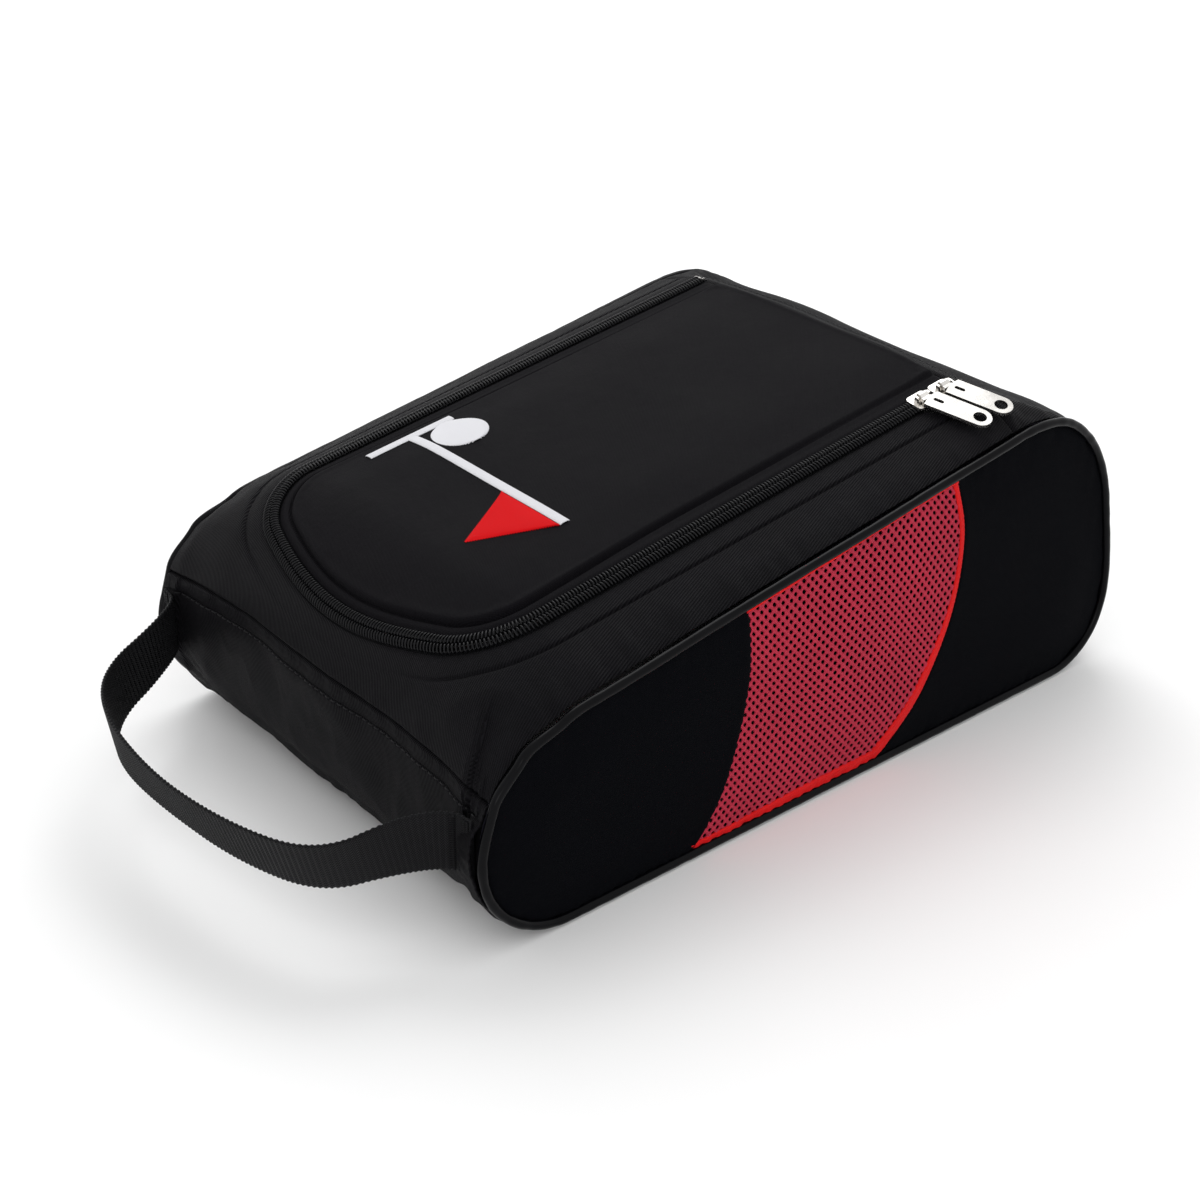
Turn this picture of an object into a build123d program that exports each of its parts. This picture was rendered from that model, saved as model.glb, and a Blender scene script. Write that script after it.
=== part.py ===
"""Golf shoe bag: a zipped wedge-shaped bag with mesh windows in its sides and a webbing handle.

Frame: X runs from the toe end (-) to the heel end (+), Y from the near side (-) to the far side (+)
and Z is up. The origin is on the ground under the middle of the bag. All sizes are in millimetres.
"""

from build123d import *
import math
import os

# ---------------------------------------------------------------- driving dimensions

LENGTH = 350.0  # toe end to heel end of a side panel
WIDTH = 228.0  # outside of one piping to outside of the other
PIPING_R = 2.0
PIPING_BUTT = 0.3  # gap between the two ends of a piping, under the base
TOE_RADIUS = 42.0  # round of the side panel's toe end
HEEL_FOOT_RADIUS = 33.0  # round of the side panel's lower heel corner
TOE_EDGE_HEIGHT = 94.5  # top edge of a side panel where its straight run starts
HEEL_EDGE_HEIGHT = 130.8  # top edge of a side panel at the heel seam
TOE_CROWN = 18.5  # rise of the lid's middle over the side edge, at the toe
HEEL_CROWN = 13.0  # the same rise at the heel seam
CROWN_POWER = 4.7  # how flat the crown is across the width

RUN_START = 57.0  # stations along the bag, measured from the toe end
FOLD_STATION = 246.0
HEEL_SEAM_STATION = 274.0
TOE_SEAM_HEIGHT = 68.0

FABRIC = 1.2
LINING_TOP = 1.5
LINING_BOTTOM = 2.2
BOARD_TOP = 2.7
BOARD_BOTTOM = 4.7
SEAM_GAP = 0.15  # half of the gap between two panels that meet in a seam

ZIP_LEG_Y = 78.0  # zip centre line, measured from the middle of the bag
ZIP_APEX_STATION = 18.0
ZIP_APEX_RADIUS = 198.0
ZIP_CORNER_RADIUS = 32.0
CHAIN_SPLIT = 0.8  # half of the slot between the two coil rows
COIL_EDGE = 3.2
FABRIC_EDGE = 8.0  # fabric stops this far from the zip's centre line
TAPE_EDGE = 11.0
COIL_RISE = 1.0
TAPE_TOP = 1.3
TAPE_BOTTOM = 2.1
FOAM_TOP = 2.3
FOAM_BOTTOM = 5.3
LID_LINING_BOTTOM = 6.1

WEBBING_WIDTH = 25.0
WEBBING_THICK = 1.6
HANDLE_Z = 47.5  # middle of the webbing's width
HANDLE_AXIS_STATION = -18.0

SLIDER_LENGTH = 10.5
SLIDER_HALF_WIDTH = 4.6
SLIDER_FRONT_STATION = 253.0
SLIDER_REAR_STATION = 265.5
SLIDER_CLEAR = 0.5
WING_THICK = 1.0
POST_HALF = 0.4
BAIL_R = 0.8
BAIL_POST_X = 3.2
BAIL_HEIGHT = 4.5  # middle of the bail's bar above the outer skin
KNUCKLE_R = 1.6
KNUCKLE_HALF = 2.2
PULL_LENGTH = 30.0
PULL_WIDTH = 10.0
PULL_THICK = 1.5
PULL_YAW = -67.0  # direction of a tab in the plane of its slider, from the zip's own direction
PULL_DROP = 8.0  # how far a resting tab tips down from that plane

HALF = LENGTH / 2
PIPING_Y = WIDTH / 2 - PIPING_R
SHELL_Y = PIPING_Y - PIPING_R - 0.3
SIDE_PANEL = 1.5
RUN_RISE = HEEL_EDGE_HEIGHT - TOE_EDGE_HEIGHT
RUN_SLOPE = math.degrees(math.atan2(RUN_RISE, HEEL_SEAM_STATION - RUN_START))

# Outline of the bag seen from the side: station and height on a side edge, the same two on the
# middle line, and the direction that points into the bag, in degrees.
OUTLINE = [
    ("base_toe", (TOE_RADIUS, 0), (TOE_RADIUS, 0), 90),
    ("base_heel", (LENGTH - HEEL_FOOT_RADIUS, 0), (LENGTH - HEEL_FOOT_RADIUS, 0), 90),
    ("heel_foot", (LENGTH - 9.7, 9.7), (LENGTH - 7.5, 10.5), 135),
    ("heel_low", (LENGTH, 36), (LENGTH + 4, 38), 180),
    ("heel_wall", (342.5, 80), (346, 82), 192),
    ("heel_shoulder", (323.5, 117), (325.5, 118.5), 225),
    ("heel_brow", (301, 130.8), (301, 133.5), 258),
    ("heel_seam", (HEEL_SEAM_STATION, HEEL_EDGE_HEIGHT),
     (HEEL_SEAM_STATION, HEEL_EDGE_HEIGHT + HEEL_CROWN), 270 + RUN_SLOPE),
    ("run_start", (RUN_START, TOE_EDGE_HEIGHT),
     (RUN_START, TOE_EDGE_HEIGHT + TOE_CROWN), 270 + RUN_SLOPE),
    ("toe_brow", (38.5, 90), (36, 105.5), 297),
    ("toe_shoulder", (18.5, 81), (18.5, 91.5), 320),
    ("toe_wall", (5.5, 66), (8.5, 69), 342),
    ("toe_low", (0, 43), (6.5, 43), 0),
    ("toe_foot", (12.3, 12.3), (15.5, 12), 45),
]


# ---------------------------------------------------------------- the bag's outer form

def crown(y):
    """Share of the full crown at a distance y from the middle, 0 on a side edge."""
    return 1 - min(abs(y) / SHELL_Y, 1.0) ** CROWN_POWER


def outline_points(share, inset):
    """Corner points of the side outline at one share of the crown, moved into the bag by inset."""
    points = []
    for _, side, middle, inward in OUTLINE:
        turn = math.radians(inward)
        x = side[0] + share * (middle[0] - side[0]) + inset * math.cos(turn)
        z = side[1] + share * (middle[1] - side[1]) + inset * math.sin(turn)
        points.append((x - HALF, z))
    return points


def outline_edges(y, share, inset):
    """Edges of the outline in the plane at y, in order from the toe end of the base."""
    p = [Vector(x, y, z) for x, z in outline_points(share, inset)]
    run = (p[8] - p[7]).normalized()
    return [
        Line(p[0], p[1]),
        ThreePointArc(p[1], p[2], p[3]),
        Spline(p[3], p[4], p[5], p[6], p[7], tangents=[(0, 0, 1), run]),
        Line(p[7], p[8]),
        Spline(p[8], p[9], p[10], p[11], p[12], tangents=[run, (0, 0, -1)]),
        ThreePointArc(p[12], p[13], p[0]),
    ]


def outline_wire(y, share, inset):
    """Closed wire of the outline in the plane at y."""
    return Wire(outline_edges(y, share, inset))


def body_form(inset, overrun=0.0):
    """Solid of the crowned bag, all its walls moved in by inset."""
    stations = [-SHELL_Y, -97.0, -ZIP_LEG_Y, -40.0, 0.0, 40.0, ZIP_LEG_Y, 97.0, SHELL_Y]
    wires = []
    for y in stations:
        place = y + math.copysign(overrun, y) if abs(y) == SHELL_Y else y
        wires.append(outline_wire(place, crown(y), inset))
    return Solid.make_loft(wires)


def layer(outer, inner):
    """Skin between two insets, open at both sides."""
    return body_form(outer) - body_form(inner, overrun=1.0)


def side_plate(inset, y_low, y_high):
    """Flat plate of the side outline."""
    face = Face(outline_wire(y_low, 0.0, inset))
    return extrude(face, amount=y_high - y_low, dir=(0, 1, 0))


def block(x_low, x_high, z_low, z_high, y_low=-200.0, y_high=200.0):
    """Box between two stations and two heights."""
    size = (x_high - x_low, y_high - y_low, z_high - z_low)
    centre = ((x_low + x_high) / 2 - HALF, (y_low + y_high) / 2, (z_low + z_high) / 2)
    return Pos(*centre) * Box(*size)


# ---------------------------------------------------------------- the zip's plan

def zip_outline(offset, end_station):
    """Plan of the U that the zip follows, moved outwards by offset and closed at end_station."""
    leg = ZIP_LEG_Y + offset
    front = ZIP_APEX_RADIUS + offset
    corner = ZIP_CORNER_RADIUS + offset
    hub = ZIP_APEX_STATION + ZIP_APEX_RADIUS - HALF
    corner_y = leg - corner
    corner_x = hub - math.sqrt((front - corner) ** 2 - corner_y ** 2)
    reach = front / (front - corner)
    touch = (hub + (corner_x - hub) * reach, corner_y * reach)
    turn = math.atan2(touch[1] - corner_y, touch[0] - corner_x)
    middle = (math.pi / 2 + turn) / 2
    bend = (corner_x + corner * math.cos(middle), corner_y + corner * math.sin(middle))
    end = end_station - HALF
    return Wire([
        Line((end, -leg), (corner_x, -leg)),
        ThreePointArc((corner_x, -leg), (bend[0], -bend[1]), (touch[0], -touch[1])),
        ThreePointArc((touch[0], -touch[1]), (hub - front, 0), touch),
        ThreePointArc(touch, bend, (corner_x, leg)),
        Line((corner_x, leg), (end, leg)),
        Line((end, leg), (end, -leg)),
    ])


def zip_prism(offset, end_station):
    """Upright prism over the zip's plan, above the toe seam."""
    face = Face(zip_outline(offset, end_station))
    return Pos(0, 0, TOE_SEAM_HEIGHT + 1) * extrude(face, amount=120, dir=(0, 0, 1))


def zip_band(inner, outer, end_station):
    """Upright wall that follows the zip between two offsets."""
    return zip_prism(outer, end_station) - zip_prism(inner, end_station + 1)


# ---------------------------------------------------------------- panels of the shell

def shell_panels():
    skin = layer(0.0, FABRIC)
    gap = SEAM_GAP
    base_toe = TOE_RADIUS
    base_heel = LENGTH - HEEL_FOOT_RADIUS
    opening = zip_prism(FABRIC_EDGE, HEEL_SEAM_STATION + 2)
    lid_area = zip_prism(-FABRIC_EDGE, FOLD_STATION - 0.3)
    strip_area = zip_prism(-FABRIC_EDGE, HEEL_SEAM_STATION - gap)
    strip_area &= block(FOLD_STATION, 400, 0, 300)
    above = block(-20, HEEL_SEAM_STATION - gap, TOE_SEAM_HEIGHT + gap, 300)
    heel_area = block(base_heel + gap, 400, -10, 300) + block(HEEL_SEAM_STATION + gap, 400, 40, 300)
    return {
        "base_panel": block(base_toe + gap, base_heel - gap, 0, FABRIC, -SHELL_Y, SHELL_Y),
        "toe_end_panel": skin & block(-20, base_toe - gap, -10, TOE_SEAM_HEIGHT - gap),
        "heel_panel": skin & heel_area,
        "top_surround": (skin & above) - opening,
        "lid_panel": skin & lid_area,
        "lid_heel_strip": skin & strip_area,
    }


def lining_and_board():
    lining = layer(LINING_TOP, LINING_BOTTOM)
    mouth = zip_prism(TAPE_EDGE + 1, HEEL_SEAM_STATION + 1)
    base_heel = LENGTH - HEEL_FOOT_RADIUS
    board = body_form(BOARD_TOP) & block(TOE_RADIUS + 3, base_heel - 3, 0, BOARD_BOTTOM, -105, 105)
    rim = layer(BOARD_TOP, BOARD_TOP + 1.0) - block(TOE_RADIUS, base_heel, -10, 20)
    low = SHELL_Y - 7
    return {
        "body_lining": lining - mouth,
        "base_board": board,
        "near_seam_binding": rim & block(-20, 400, -10, 300, -SHELL_Y, -low),
        "far_seam_binding": rim & block(-20, 400, -10, 300, low, SHELL_Y),
    }


def lid_inner_layers():
    end = FOLD_STATION - 0.3
    foam = layer(FOAM_TOP, FOAM_BOTTOM) & zip_prism(-FABRIC_EDGE, end - 4)
    lining = layer(FOAM_BOTTOM + 0.1, LID_LINING_BOTTOM) & zip_prism(-FABRIC_EDGE, end - 4)
    return {"lid_foam": foam, "lid_lining": lining}


# ---------------------------------------------------------------- side panels, windows and piping

def window_cutter(foot_station, head_station, bulge, near_limit):
    """Plate outline on the heel side of a window edge, an arc that bows towards the heel."""
    foot = (foot_station - HALF, -10.0)
    head = (head_station - HALF, 170.0)
    bow = ((foot[0] + head[0]) / 2 + bulge, 80.0)
    arc = ThreePointArc(foot, bow, head)
    far = 260.0
    corners = [head, (far, 170.0), (far, -10.0), foot]
    ring = Wire([arc] + [Line(a, b) for a, b in zip(corners, corners[1:])])
    face = Plane(origin=(0, near_limit, 0), x_dir=(1, 0, 0), z_dir=(0, -1, 0)) * Face(ring)
    return extrude(face, amount=20, both=True)


def side_sections(side):
    """Toe section, mesh window and heel section of one side panel."""
    name = "near" if side < 0 else "far"
    outside = side * (PIPING_Y + 0.3)
    inside = side * (PIPING_Y + 0.3 - SIDE_PANEL)
    plate = side_plate(2 * PIPING_R + 0.3, min(inside, outside), max(inside, outside))
    toe_edge = window_cutter(92.0, 97.0, 32.0, side * PIPING_Y)
    heel_edge = window_cutter(181.0, 201.0, 54.0, side * PIPING_Y)
    slit = 2 * SEAM_GAP
    return {
        name + "_toe_side": plate - Pos(-slit, 0, 0) * toe_edge,
        name + "_mesh_window": (plate & toe_edge) - heel_edge,
        name + "_heel_side": plate & Pos(slit, 0, 0) * heel_edge,
    }


def piping(side):
    """Round cord in a vinyl sleeve, all round one side panel."""
    edges = outline_edges(side * PIPING_Y, 0.0, PIPING_R)
    last, first = edges[0] @ 1, edges[0] @ 0
    edges[0] = Line(first + Vector(PIPING_BUTT, 0, 0), last)
    path = Wire(edges)
    section = Plane(origin=path @ 0, z_dir=path % 0) * Circle(PIPING_R)
    return sweep(section, path=path)


# ---------------------------------------------------------------- zip

def zip_parts():
    end = HEEL_SEAM_STATION - 0.5
    tape = layer(TAPE_TOP, TAPE_BOTTOM)
    coil = layer(-COIL_RISE, FABRIC)
    moving = block(-20, FOLD_STATION - 0.3, 0, 300)
    fixed = block(FOLD_STATION, 400, 0, 300)
    lid_tape = tape & zip_band(-TAPE_EDGE, -CHAIN_SPLIT, end)
    lid_coil = coil & zip_band(-COIL_EDGE, -CHAIN_SPLIT, end)
    return {
        "zipper_tape_body": tape & zip_band(CHAIN_SPLIT, TAPE_EDGE, end),
        "zipper_coil_body": coil & zip_band(CHAIN_SPLIT, COIL_EDGE, end),
        "zipper_tape_lid": lid_tape & moving,
        "zipper_coil_lid": lid_coil & moving,
        "zipper_tape_tail": lid_tape & fixed,
        "zipper_coil_tail": lid_coil & fixed,
    }


def leg_height(station, y):
    """Height of the outer skin on the straight run of the zip."""
    share = (station - RUN_START) / (HEEL_SEAM_STATION - RUN_START)
    edge = TOE_EDGE_HEIGHT + share * (HEEL_EDGE_HEIGHT - TOE_EDGE_HEIGHT)
    return edge + crown(y) * (TOE_CROWN + share * (HEEL_CROWN - TOE_CROWN))


def leg_plane(station):
    """Plane on the near zip leg: x along the zip towards the heel, z out of the bag."""
    low = Vector(RUN_START - HALF, -ZIP_LEG_Y, leg_height(RUN_START, ZIP_LEG_Y))
    high = Vector(HEEL_SEAM_STATION - HALF, -ZIP_LEG_Y, leg_height(HEEL_SEAM_STATION, ZIP_LEG_Y))
    along = (high - low).normalized()
    fall = leg_height(station, ZIP_LEG_Y - 1) - leg_height(station, ZIP_LEG_Y + 1)
    across = Vector(0, 2, fall).normalized()
    here = Vector(station - HALF, -ZIP_LEG_Y, leg_height(station, ZIP_LEG_Y))
    return Plane(origin=here, x_dir=along, z_dir=along.cross(across))


def slider(station):
    """Two wings joined by a post between the coil rows, side flanges and a bail on top."""
    top = COIL_RISE + SLIDER_CLEAR
    low = -TAPE_BOTTOM - SLIDER_CLEAR
    plan = Rectangle(SLIDER_LENGTH, 2 * SLIDER_HALF_WIDTH)
    plan = fillet(plan.vertices(), 2.0)
    whole = Pos(0, 0, top) * extrude(plan, WING_THICK)
    whole += Pos(0, 0, low - WING_THICK) * extrude(plan, WING_THICK)
    whole += Pos(0, 0, (top + low) / 2) * Box(4.0, 2 * POST_HALF, top - low + 0.2)
    flange_thick = SLIDER_HALF_WIDTH - COIL_EDGE - SLIDER_CLEAR
    flange_y = SLIDER_HALF_WIDTH - flange_thick / 2
    flange_low = -TAPE_TOP + SLIDER_CLEAR
    for side in (-1, 1):
        flange_middle = (top + 0.1 + flange_low) / 2
        flange = Box(SLIDER_LENGTH - 4, flange_thick, top + 0.1 - flange_low)
        whole += Pos(0, side * flange_y, flange_middle) * flange
        post = Box(1.2, 1.6, BAIL_HEIGHT + BAIL_R - top - 0.2)
        whole += Pos(side * BAIL_POST_X, 0, (BAIL_HEIGHT + BAIL_R + top + 0.2) / 2) * post
    whole += Pos(0, 0, BAIL_HEIGHT) * Rot(0, 90, 0) * Cylinder(BAIL_R, 2 * BAIL_POST_X)
    return leg_plane(station) * whole


def pull_tab(station):
    """Flat tab on a knuckle round the bail, with a slot near its head and a hole in its tail."""
    skew = 90 + PULL_YAW
    head = KNUCKLE_R + 1.0
    tail = PULL_LENGTH - PULL_WIDTH / 2
    plate = Pos((head + tail) / 2, 0, 0) * Rectangle(tail - head, PULL_WIDTH)
    plate += Pos(tail, 0, 0) * Circle(PULL_WIDTH / 2)
    plate -= Pos(tail, 0, 0) * Circle(2.8)
    plate -= Pos(head + 4.5, 0, 0) * SlotOverall(4.6, 1.8)
    tab = Rot(0, 0, -90 + skew) * extrude(plate, PULL_THICK / 2, both=True)
    neck = Pos(0, -head / 2 - 0.3, 0) * Box(2 * KNUCKLE_HALF, head, PULL_THICK)
    knuckle = Rot(0, 90, 0) * Cylinder(KNUCKLE_R, 2 * KNUCKLE_HALF)
    bore = Rot(0, 90, 0) * Cylinder(BAIL_R + 0.15, 4 * KNUCKLE_HALF)
    clear = Rot(0, 90, 0) * Cylinder(KNUCKLE_R + 0.7, 3 * PULL_WIDTH)
    whole = (tab - clear) + neck + knuckle - bore
    return leg_plane(station) * Pos(0, 0, BAIL_HEIGHT) * Rot(PULL_DROP, 0, 0) * whole


def zip_stops():
    """Crimped stop on each end of the chain, just before the heel seam."""
    near = leg_plane(HEEL_SEAM_STATION - 1.4) * Pos(0, 0, COIL_RISE + 0.5) * Box(1.2, 6.0, 0.8)
    return Compound([near, mirror(near, about=Plane.XZ)])


# ---------------------------------------------------------------- handle

def handle_path():
    """Plan of the webbing, from its sewn end on the near side to the one on the far side."""
    stations = [(-2.2, -107), (-2.2, -98), (-17, -86), (-44, -74), (-56, -38), (-62, 8),
                (-60, 52), (-46, 80), (-17, 86), (-2.2, 98), (-2.2, 107)]
    corners = [(x - HALF, y) for x, y in stations]
    return FilletPolyline(*corners, radius=[6, 10, 16, 40, 60, 60, 16, 10, 6])


def handle_parts():
    """Loop of webbing and its two sewn ends, parted where the loop swings."""
    ribbon = trace(handle_path(), WEBBING_THICK)
    band = Pos(0, 0, HANDLE_Z - WEBBING_WIDTH / 2) * extrude(ribbon, WEBBING_WIDTH, dir=(0, 0, 1))
    pivot = Pos(HANDLE_AXIS_STATION - HALF, 0, HANDLE_Z) * Rot(90, 0, 0)
    disc = pivot * Cylinder(WEBBING_WIDTH / 2 - 0.01, 400)
    relief = pivot * Cylinder(WEBBING_WIDTH / 2 + 0.5, 400)
    ahead = block(-200, HANDLE_AXIS_STATION, 0, 200)
    behind = block(HANDLE_AXIS_STATION, 200, 0, 200)
    loop = band & (ahead + disc)
    ends = (band & behind) - relief
    return {
        "handle_webbing": loop,
        "near_handle_end": ends & block(-200, 200, 0, 200, -200, 0),
        "far_handle_end": ends & block(-200, 200, 0, 200, 0, 200),
    }


# ---------------------------------------------------------------- emblem on the lid

EMBLEM_RISE = 0.8
EMBLEM_STATION = 96.0
EMBLEM_NEAR = -42.0
EMBLEM_FAR = 60.0
STAFF_WIDTH = 4.5
BALL_R = 12.0
PENNANT_LENGTH = 32.0
PENNANT_DEPTH = 36.0


def emblem():
    """Embroidered golf flag lying across the lid: a staff, a ball at its foot, and a pennant."""
    thread = layer(-EMBLEM_RISE, -0.02)
    x = EMBLEM_STATION - HALF
    staff_length = EMBLEM_FAR - EMBLEM_NEAR
    staff = Pos(x, (EMBLEM_NEAR + EMBLEM_FAR) / 2, 0) * Rectangle(STAFF_WIDTH, staff_length)
    ball = Pos(x + BALL_R + STAFF_WIDTH / 2 + 1, EMBLEM_FAR - BALL_R, 0) * Circle(BALL_R)
    green = Pos(x, EMBLEM_FAR, 0) * Rectangle(42, STAFF_WIDTH)
    hoist = x - STAFF_WIDTH / 2 - 0.3
    low = (hoist, EMBLEM_NEAR)
    tip = (hoist - PENNANT_LENGTH, EMBLEM_NEAR + PENNANT_DEPTH / 2)
    high = (hoist, EMBLEM_NEAR + PENNANT_DEPTH)
    pennant = make_face(Polyline(low, tip, high, close=True))
    lift = Pos(0, 0, TOE_SEAM_HEIGHT + 2)
    return {
        "emblem_white": thread & (lift * extrude(staff + ball + green, 120, dir=(0, 0, 1))),
        "emblem_red": thread & (lift * extrude(pennant, 120, dir=(0, 0, 1))),
    }


# ---------------------------------------------------------------- assembly

def all_parts():
    parts = {}
    parts.update(shell_panels())
    parts.update(lining_and_board())
    parts.update(lid_inner_layers())
    for side in (-1, 1):
        parts.update(side_sections(side))
    parts["near_piping"] = piping(-1)
    parts["far_piping"] = piping(1)
    parts.update(zip_parts())
    parts["zipper_end_stops"] = zip_stops()
    parts["slider_front"] = slider(SLIDER_FRONT_STATION)
    parts["slider_rear"] = slider(SLIDER_REAR_STATION)
    parts["pull_front"] = pull_tab(SLIDER_FRONT_STATION)
    parts["pull_rear"] = pull_tab(SLIDER_REAR_STATION)
    parts.update(handle_parts())
    parts.update(emblem())
    return parts


os.makedirs("parts", exist_ok=True)
for node, shape in all_parts().items():
    export_step(shape, f"parts/{node}.step")
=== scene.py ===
import math
from functools import partial

import bmesh
import bpy
import numpy as np
from mathutils import Matrix, Vector
from mathutils.bvhtree import BVHTree


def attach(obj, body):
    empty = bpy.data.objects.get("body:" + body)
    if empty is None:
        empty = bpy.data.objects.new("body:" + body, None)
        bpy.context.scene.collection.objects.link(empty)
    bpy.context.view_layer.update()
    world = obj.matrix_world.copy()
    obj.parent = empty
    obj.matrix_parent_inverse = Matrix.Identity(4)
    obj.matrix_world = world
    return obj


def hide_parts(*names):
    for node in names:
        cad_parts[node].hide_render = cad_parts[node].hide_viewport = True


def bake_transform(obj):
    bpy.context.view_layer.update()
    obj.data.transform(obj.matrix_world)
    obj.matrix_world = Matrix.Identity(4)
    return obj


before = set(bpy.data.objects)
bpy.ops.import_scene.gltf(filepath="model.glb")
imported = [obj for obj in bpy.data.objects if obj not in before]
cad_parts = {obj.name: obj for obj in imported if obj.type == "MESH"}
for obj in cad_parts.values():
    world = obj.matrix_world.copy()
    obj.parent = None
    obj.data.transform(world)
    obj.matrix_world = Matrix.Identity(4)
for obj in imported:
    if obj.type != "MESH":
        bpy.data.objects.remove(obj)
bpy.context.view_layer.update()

# -------------------------------- driving dimensions, in millimetres
# X runs from the toe end to the heel end, Y from the near side to the far side, Z is up.
# A station is a distance from the toe end; x = station - HALF.

MM = 0.001
LENGTH = 350.0
HALF = LENGTH / 2
SHELL_Y = 109.7
PIPING_Y = 112.0
PIPING_R = 2.0
SIDE_FACE = 112.3
CROWN_POWER = 4.7
FABRIC = 1.1
HEEL_SEAM_T = 7.0
TOE_SEAM_T = 11.0
TURN_T = 14
BATCH = 4000  # points compared with a line in one go
SIDES = (("near", -1), ("far", 1))  # names and signs of y

ZIP_LEG_Y = 78.0
ZIP_APEX = 18.0
ZIP_FRONT_R = 198.0
ZIP_CORNER_R = 32.0
ZIP_END = 274.0
FOLD_X = 71.0
HANDLE_Z = 47.5

# The bag's outline: (station, height) on a side edge, the same on the middle line, and the
# direction of travel round the outline in degrees.
OUTLINE = [
    ((42, 0), (42, 0), 0),
    ((317, 0), (317, 0), 0),
    ((340.3, 9.7), (342.5, 10.5), 45),
    ((350, 36), (354, 38), 90),
    ((342.5, 80), (346, 82), 102),
    ((323.5, 117), (325.5, 118.5), 135),
    ((301, 130.8), (301, 133.5), 168),
    ((274, 130.8), (274, 143.8), 189.5),
    ((57, 94.5), (57, 113), 189.5),
    ((38.5, 90), (36, 105.5), 207),
    ((18.5, 81), (18.5, 91.5), 230),
    ((5.5, 66), (8.5, 69), 252),
    ((0, 43), (6.5, 43), 270),
    ((12.3, 12.3), (15.5, 12), 315),
]
RUN = (7, 8)  # the straight stretch of the top lies between these two corner points
SIDE = np.array([row[0] for row in OUTLINE], float)
MIDDLE = np.array([row[1] for row in OUTLINE], float)
TRAVEL = np.radians([row[2] for row in OUTLINE])


# -------------------------------- the bag's surface

def unit(v):
    return v / np.maximum(np.linalg.norm(v, axis=-1, keepdims=True), 1e-9)


def smooth(x, low, high):
    """0 below low, 1 above high, a smooth step between."""
    w = np.clip((x - low) / (high - low), 0, 1)
    return w * w * (3 - 2 * w)


def bell(x, middle, width):
    return np.exp(-((x - middle) / width) ** 2)


def crown(y):
    return 1 - (np.abs(y) / SHELL_Y) ** CROWN_POWER


def corner(i, share):
    return SIDE[i] + share[..., None] * (MIDDLE[i] - SIDE[i])


def travel(i, share):
    """Unit direction of the outline at corner point i."""
    run = unit(corner(RUN[1], share) - corner(RUN[0], share))
    table = np.stack([np.cos(TRAVEL[i]), np.sin(TRAVEL[i])], -1)
    on_run = (i == RUN[0]) | (i == RUN[1])
    return np.where(on_run[..., None], run, table)


def form(t, y):
    """Point of the outer form; t counts the outline's corner points round the bag."""
    t, y = np.broadcast_arrays(np.asarray(t, float), np.asarray(y, float))
    t = np.mod(t, TURN_T)
    share = crown(y)
    i = np.minimum(t.astype(int), TURN_T - 1)
    j = (i + 1) % TURN_T
    f = (t - i)[..., None]
    a, b = corner(i, share), corner(j, share)
    chord = np.linalg.norm(b - a, axis=-1, keepdims=True)
    turn = np.abs((TRAVEL[j] - TRAVEL[i] + np.pi) % (2 * np.pi) - np.pi)[..., None]
    turn = np.maximum(turn, 1e-3)
    reach = chord * 4 * np.tan(turn / 4) / (2 * np.sin(turn / 2))
    da, db = travel(i, share) * reach, travel(j, share) * reach
    flat = (1 + 2 * f) * (1 - f) ** 2 * a + f * f * (3 - 2 * f) * b
    flat = flat + f * (1 - f) ** 2 * da - f * f * (1 - f) * db
    return np.stack([flat[..., 0] - HALF, y, flat[..., 1]], -1)


def outward(t, y):
    along = form(t + 2e-3, y) - form(t - 2e-3, y)
    across = form(t, y + 0.5) - form(t, y - 0.5)
    return unit(np.cross(across, along))


def raised(points, normals, lift):
    """Points moved along their normals."""
    return points + normals * np.asarray(lift, float)[..., None]


def skin(t, y, lift):
    return raised(form(t, y), outward(t, y), lift)


def surface(t, y):
    """Surface coordinates as full arrays, with the form's points and normals there."""
    t, y = np.broadcast_arrays(t, y)
    return t, y, form(t, y), outward(t, y)


def top_t(x, y):
    """Outline parameter of the top surface above a plan point."""
    low = np.full(np.broadcast(x, y).shape, HEEL_SEAM_T - 0.5)
    high = np.full(low.shape, TOE_SEAM_T + 0.9)
    for _ in range(26):  # halvings
        half = (low + high) / 2
        behind = form(half, y)[..., 0] > x
        low = np.where(behind, half, low)
        high = np.where(behind, high, half)
    return (low + high) / 2


ARC_T = np.linspace(0, 2 * TURN_T, 2801)
ARC_STEPS = np.linalg.norm(np.diff(form(ARC_T, 60.0), axis=0), axis=1)
ARC = np.concatenate([[0], np.cumsum(ARC_STEPS)])


def arc(t):
    """Distance round the bag from the toe end of the base to t."""
    return np.interp(t, ARC_T, ARC)


def unrolled(t, y):
    """UV map of the body's cloth: millimetres across the bag and round it."""
    return np.stack([y, arc(t)], -1)


def along_path(points):
    steps = np.linalg.norm(np.diff(points, axis=0), axis=1)
    return np.concatenate([[0], np.cumsum(steps)])


def resample(points, count):
    """The same path as count evenly spaced points."""
    run = along_path(points)
    places = np.linspace(0, run[-1], count)
    return np.stack([np.interp(places, run, points[:, k]) for k in range(points.shape[1])], -1)


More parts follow.
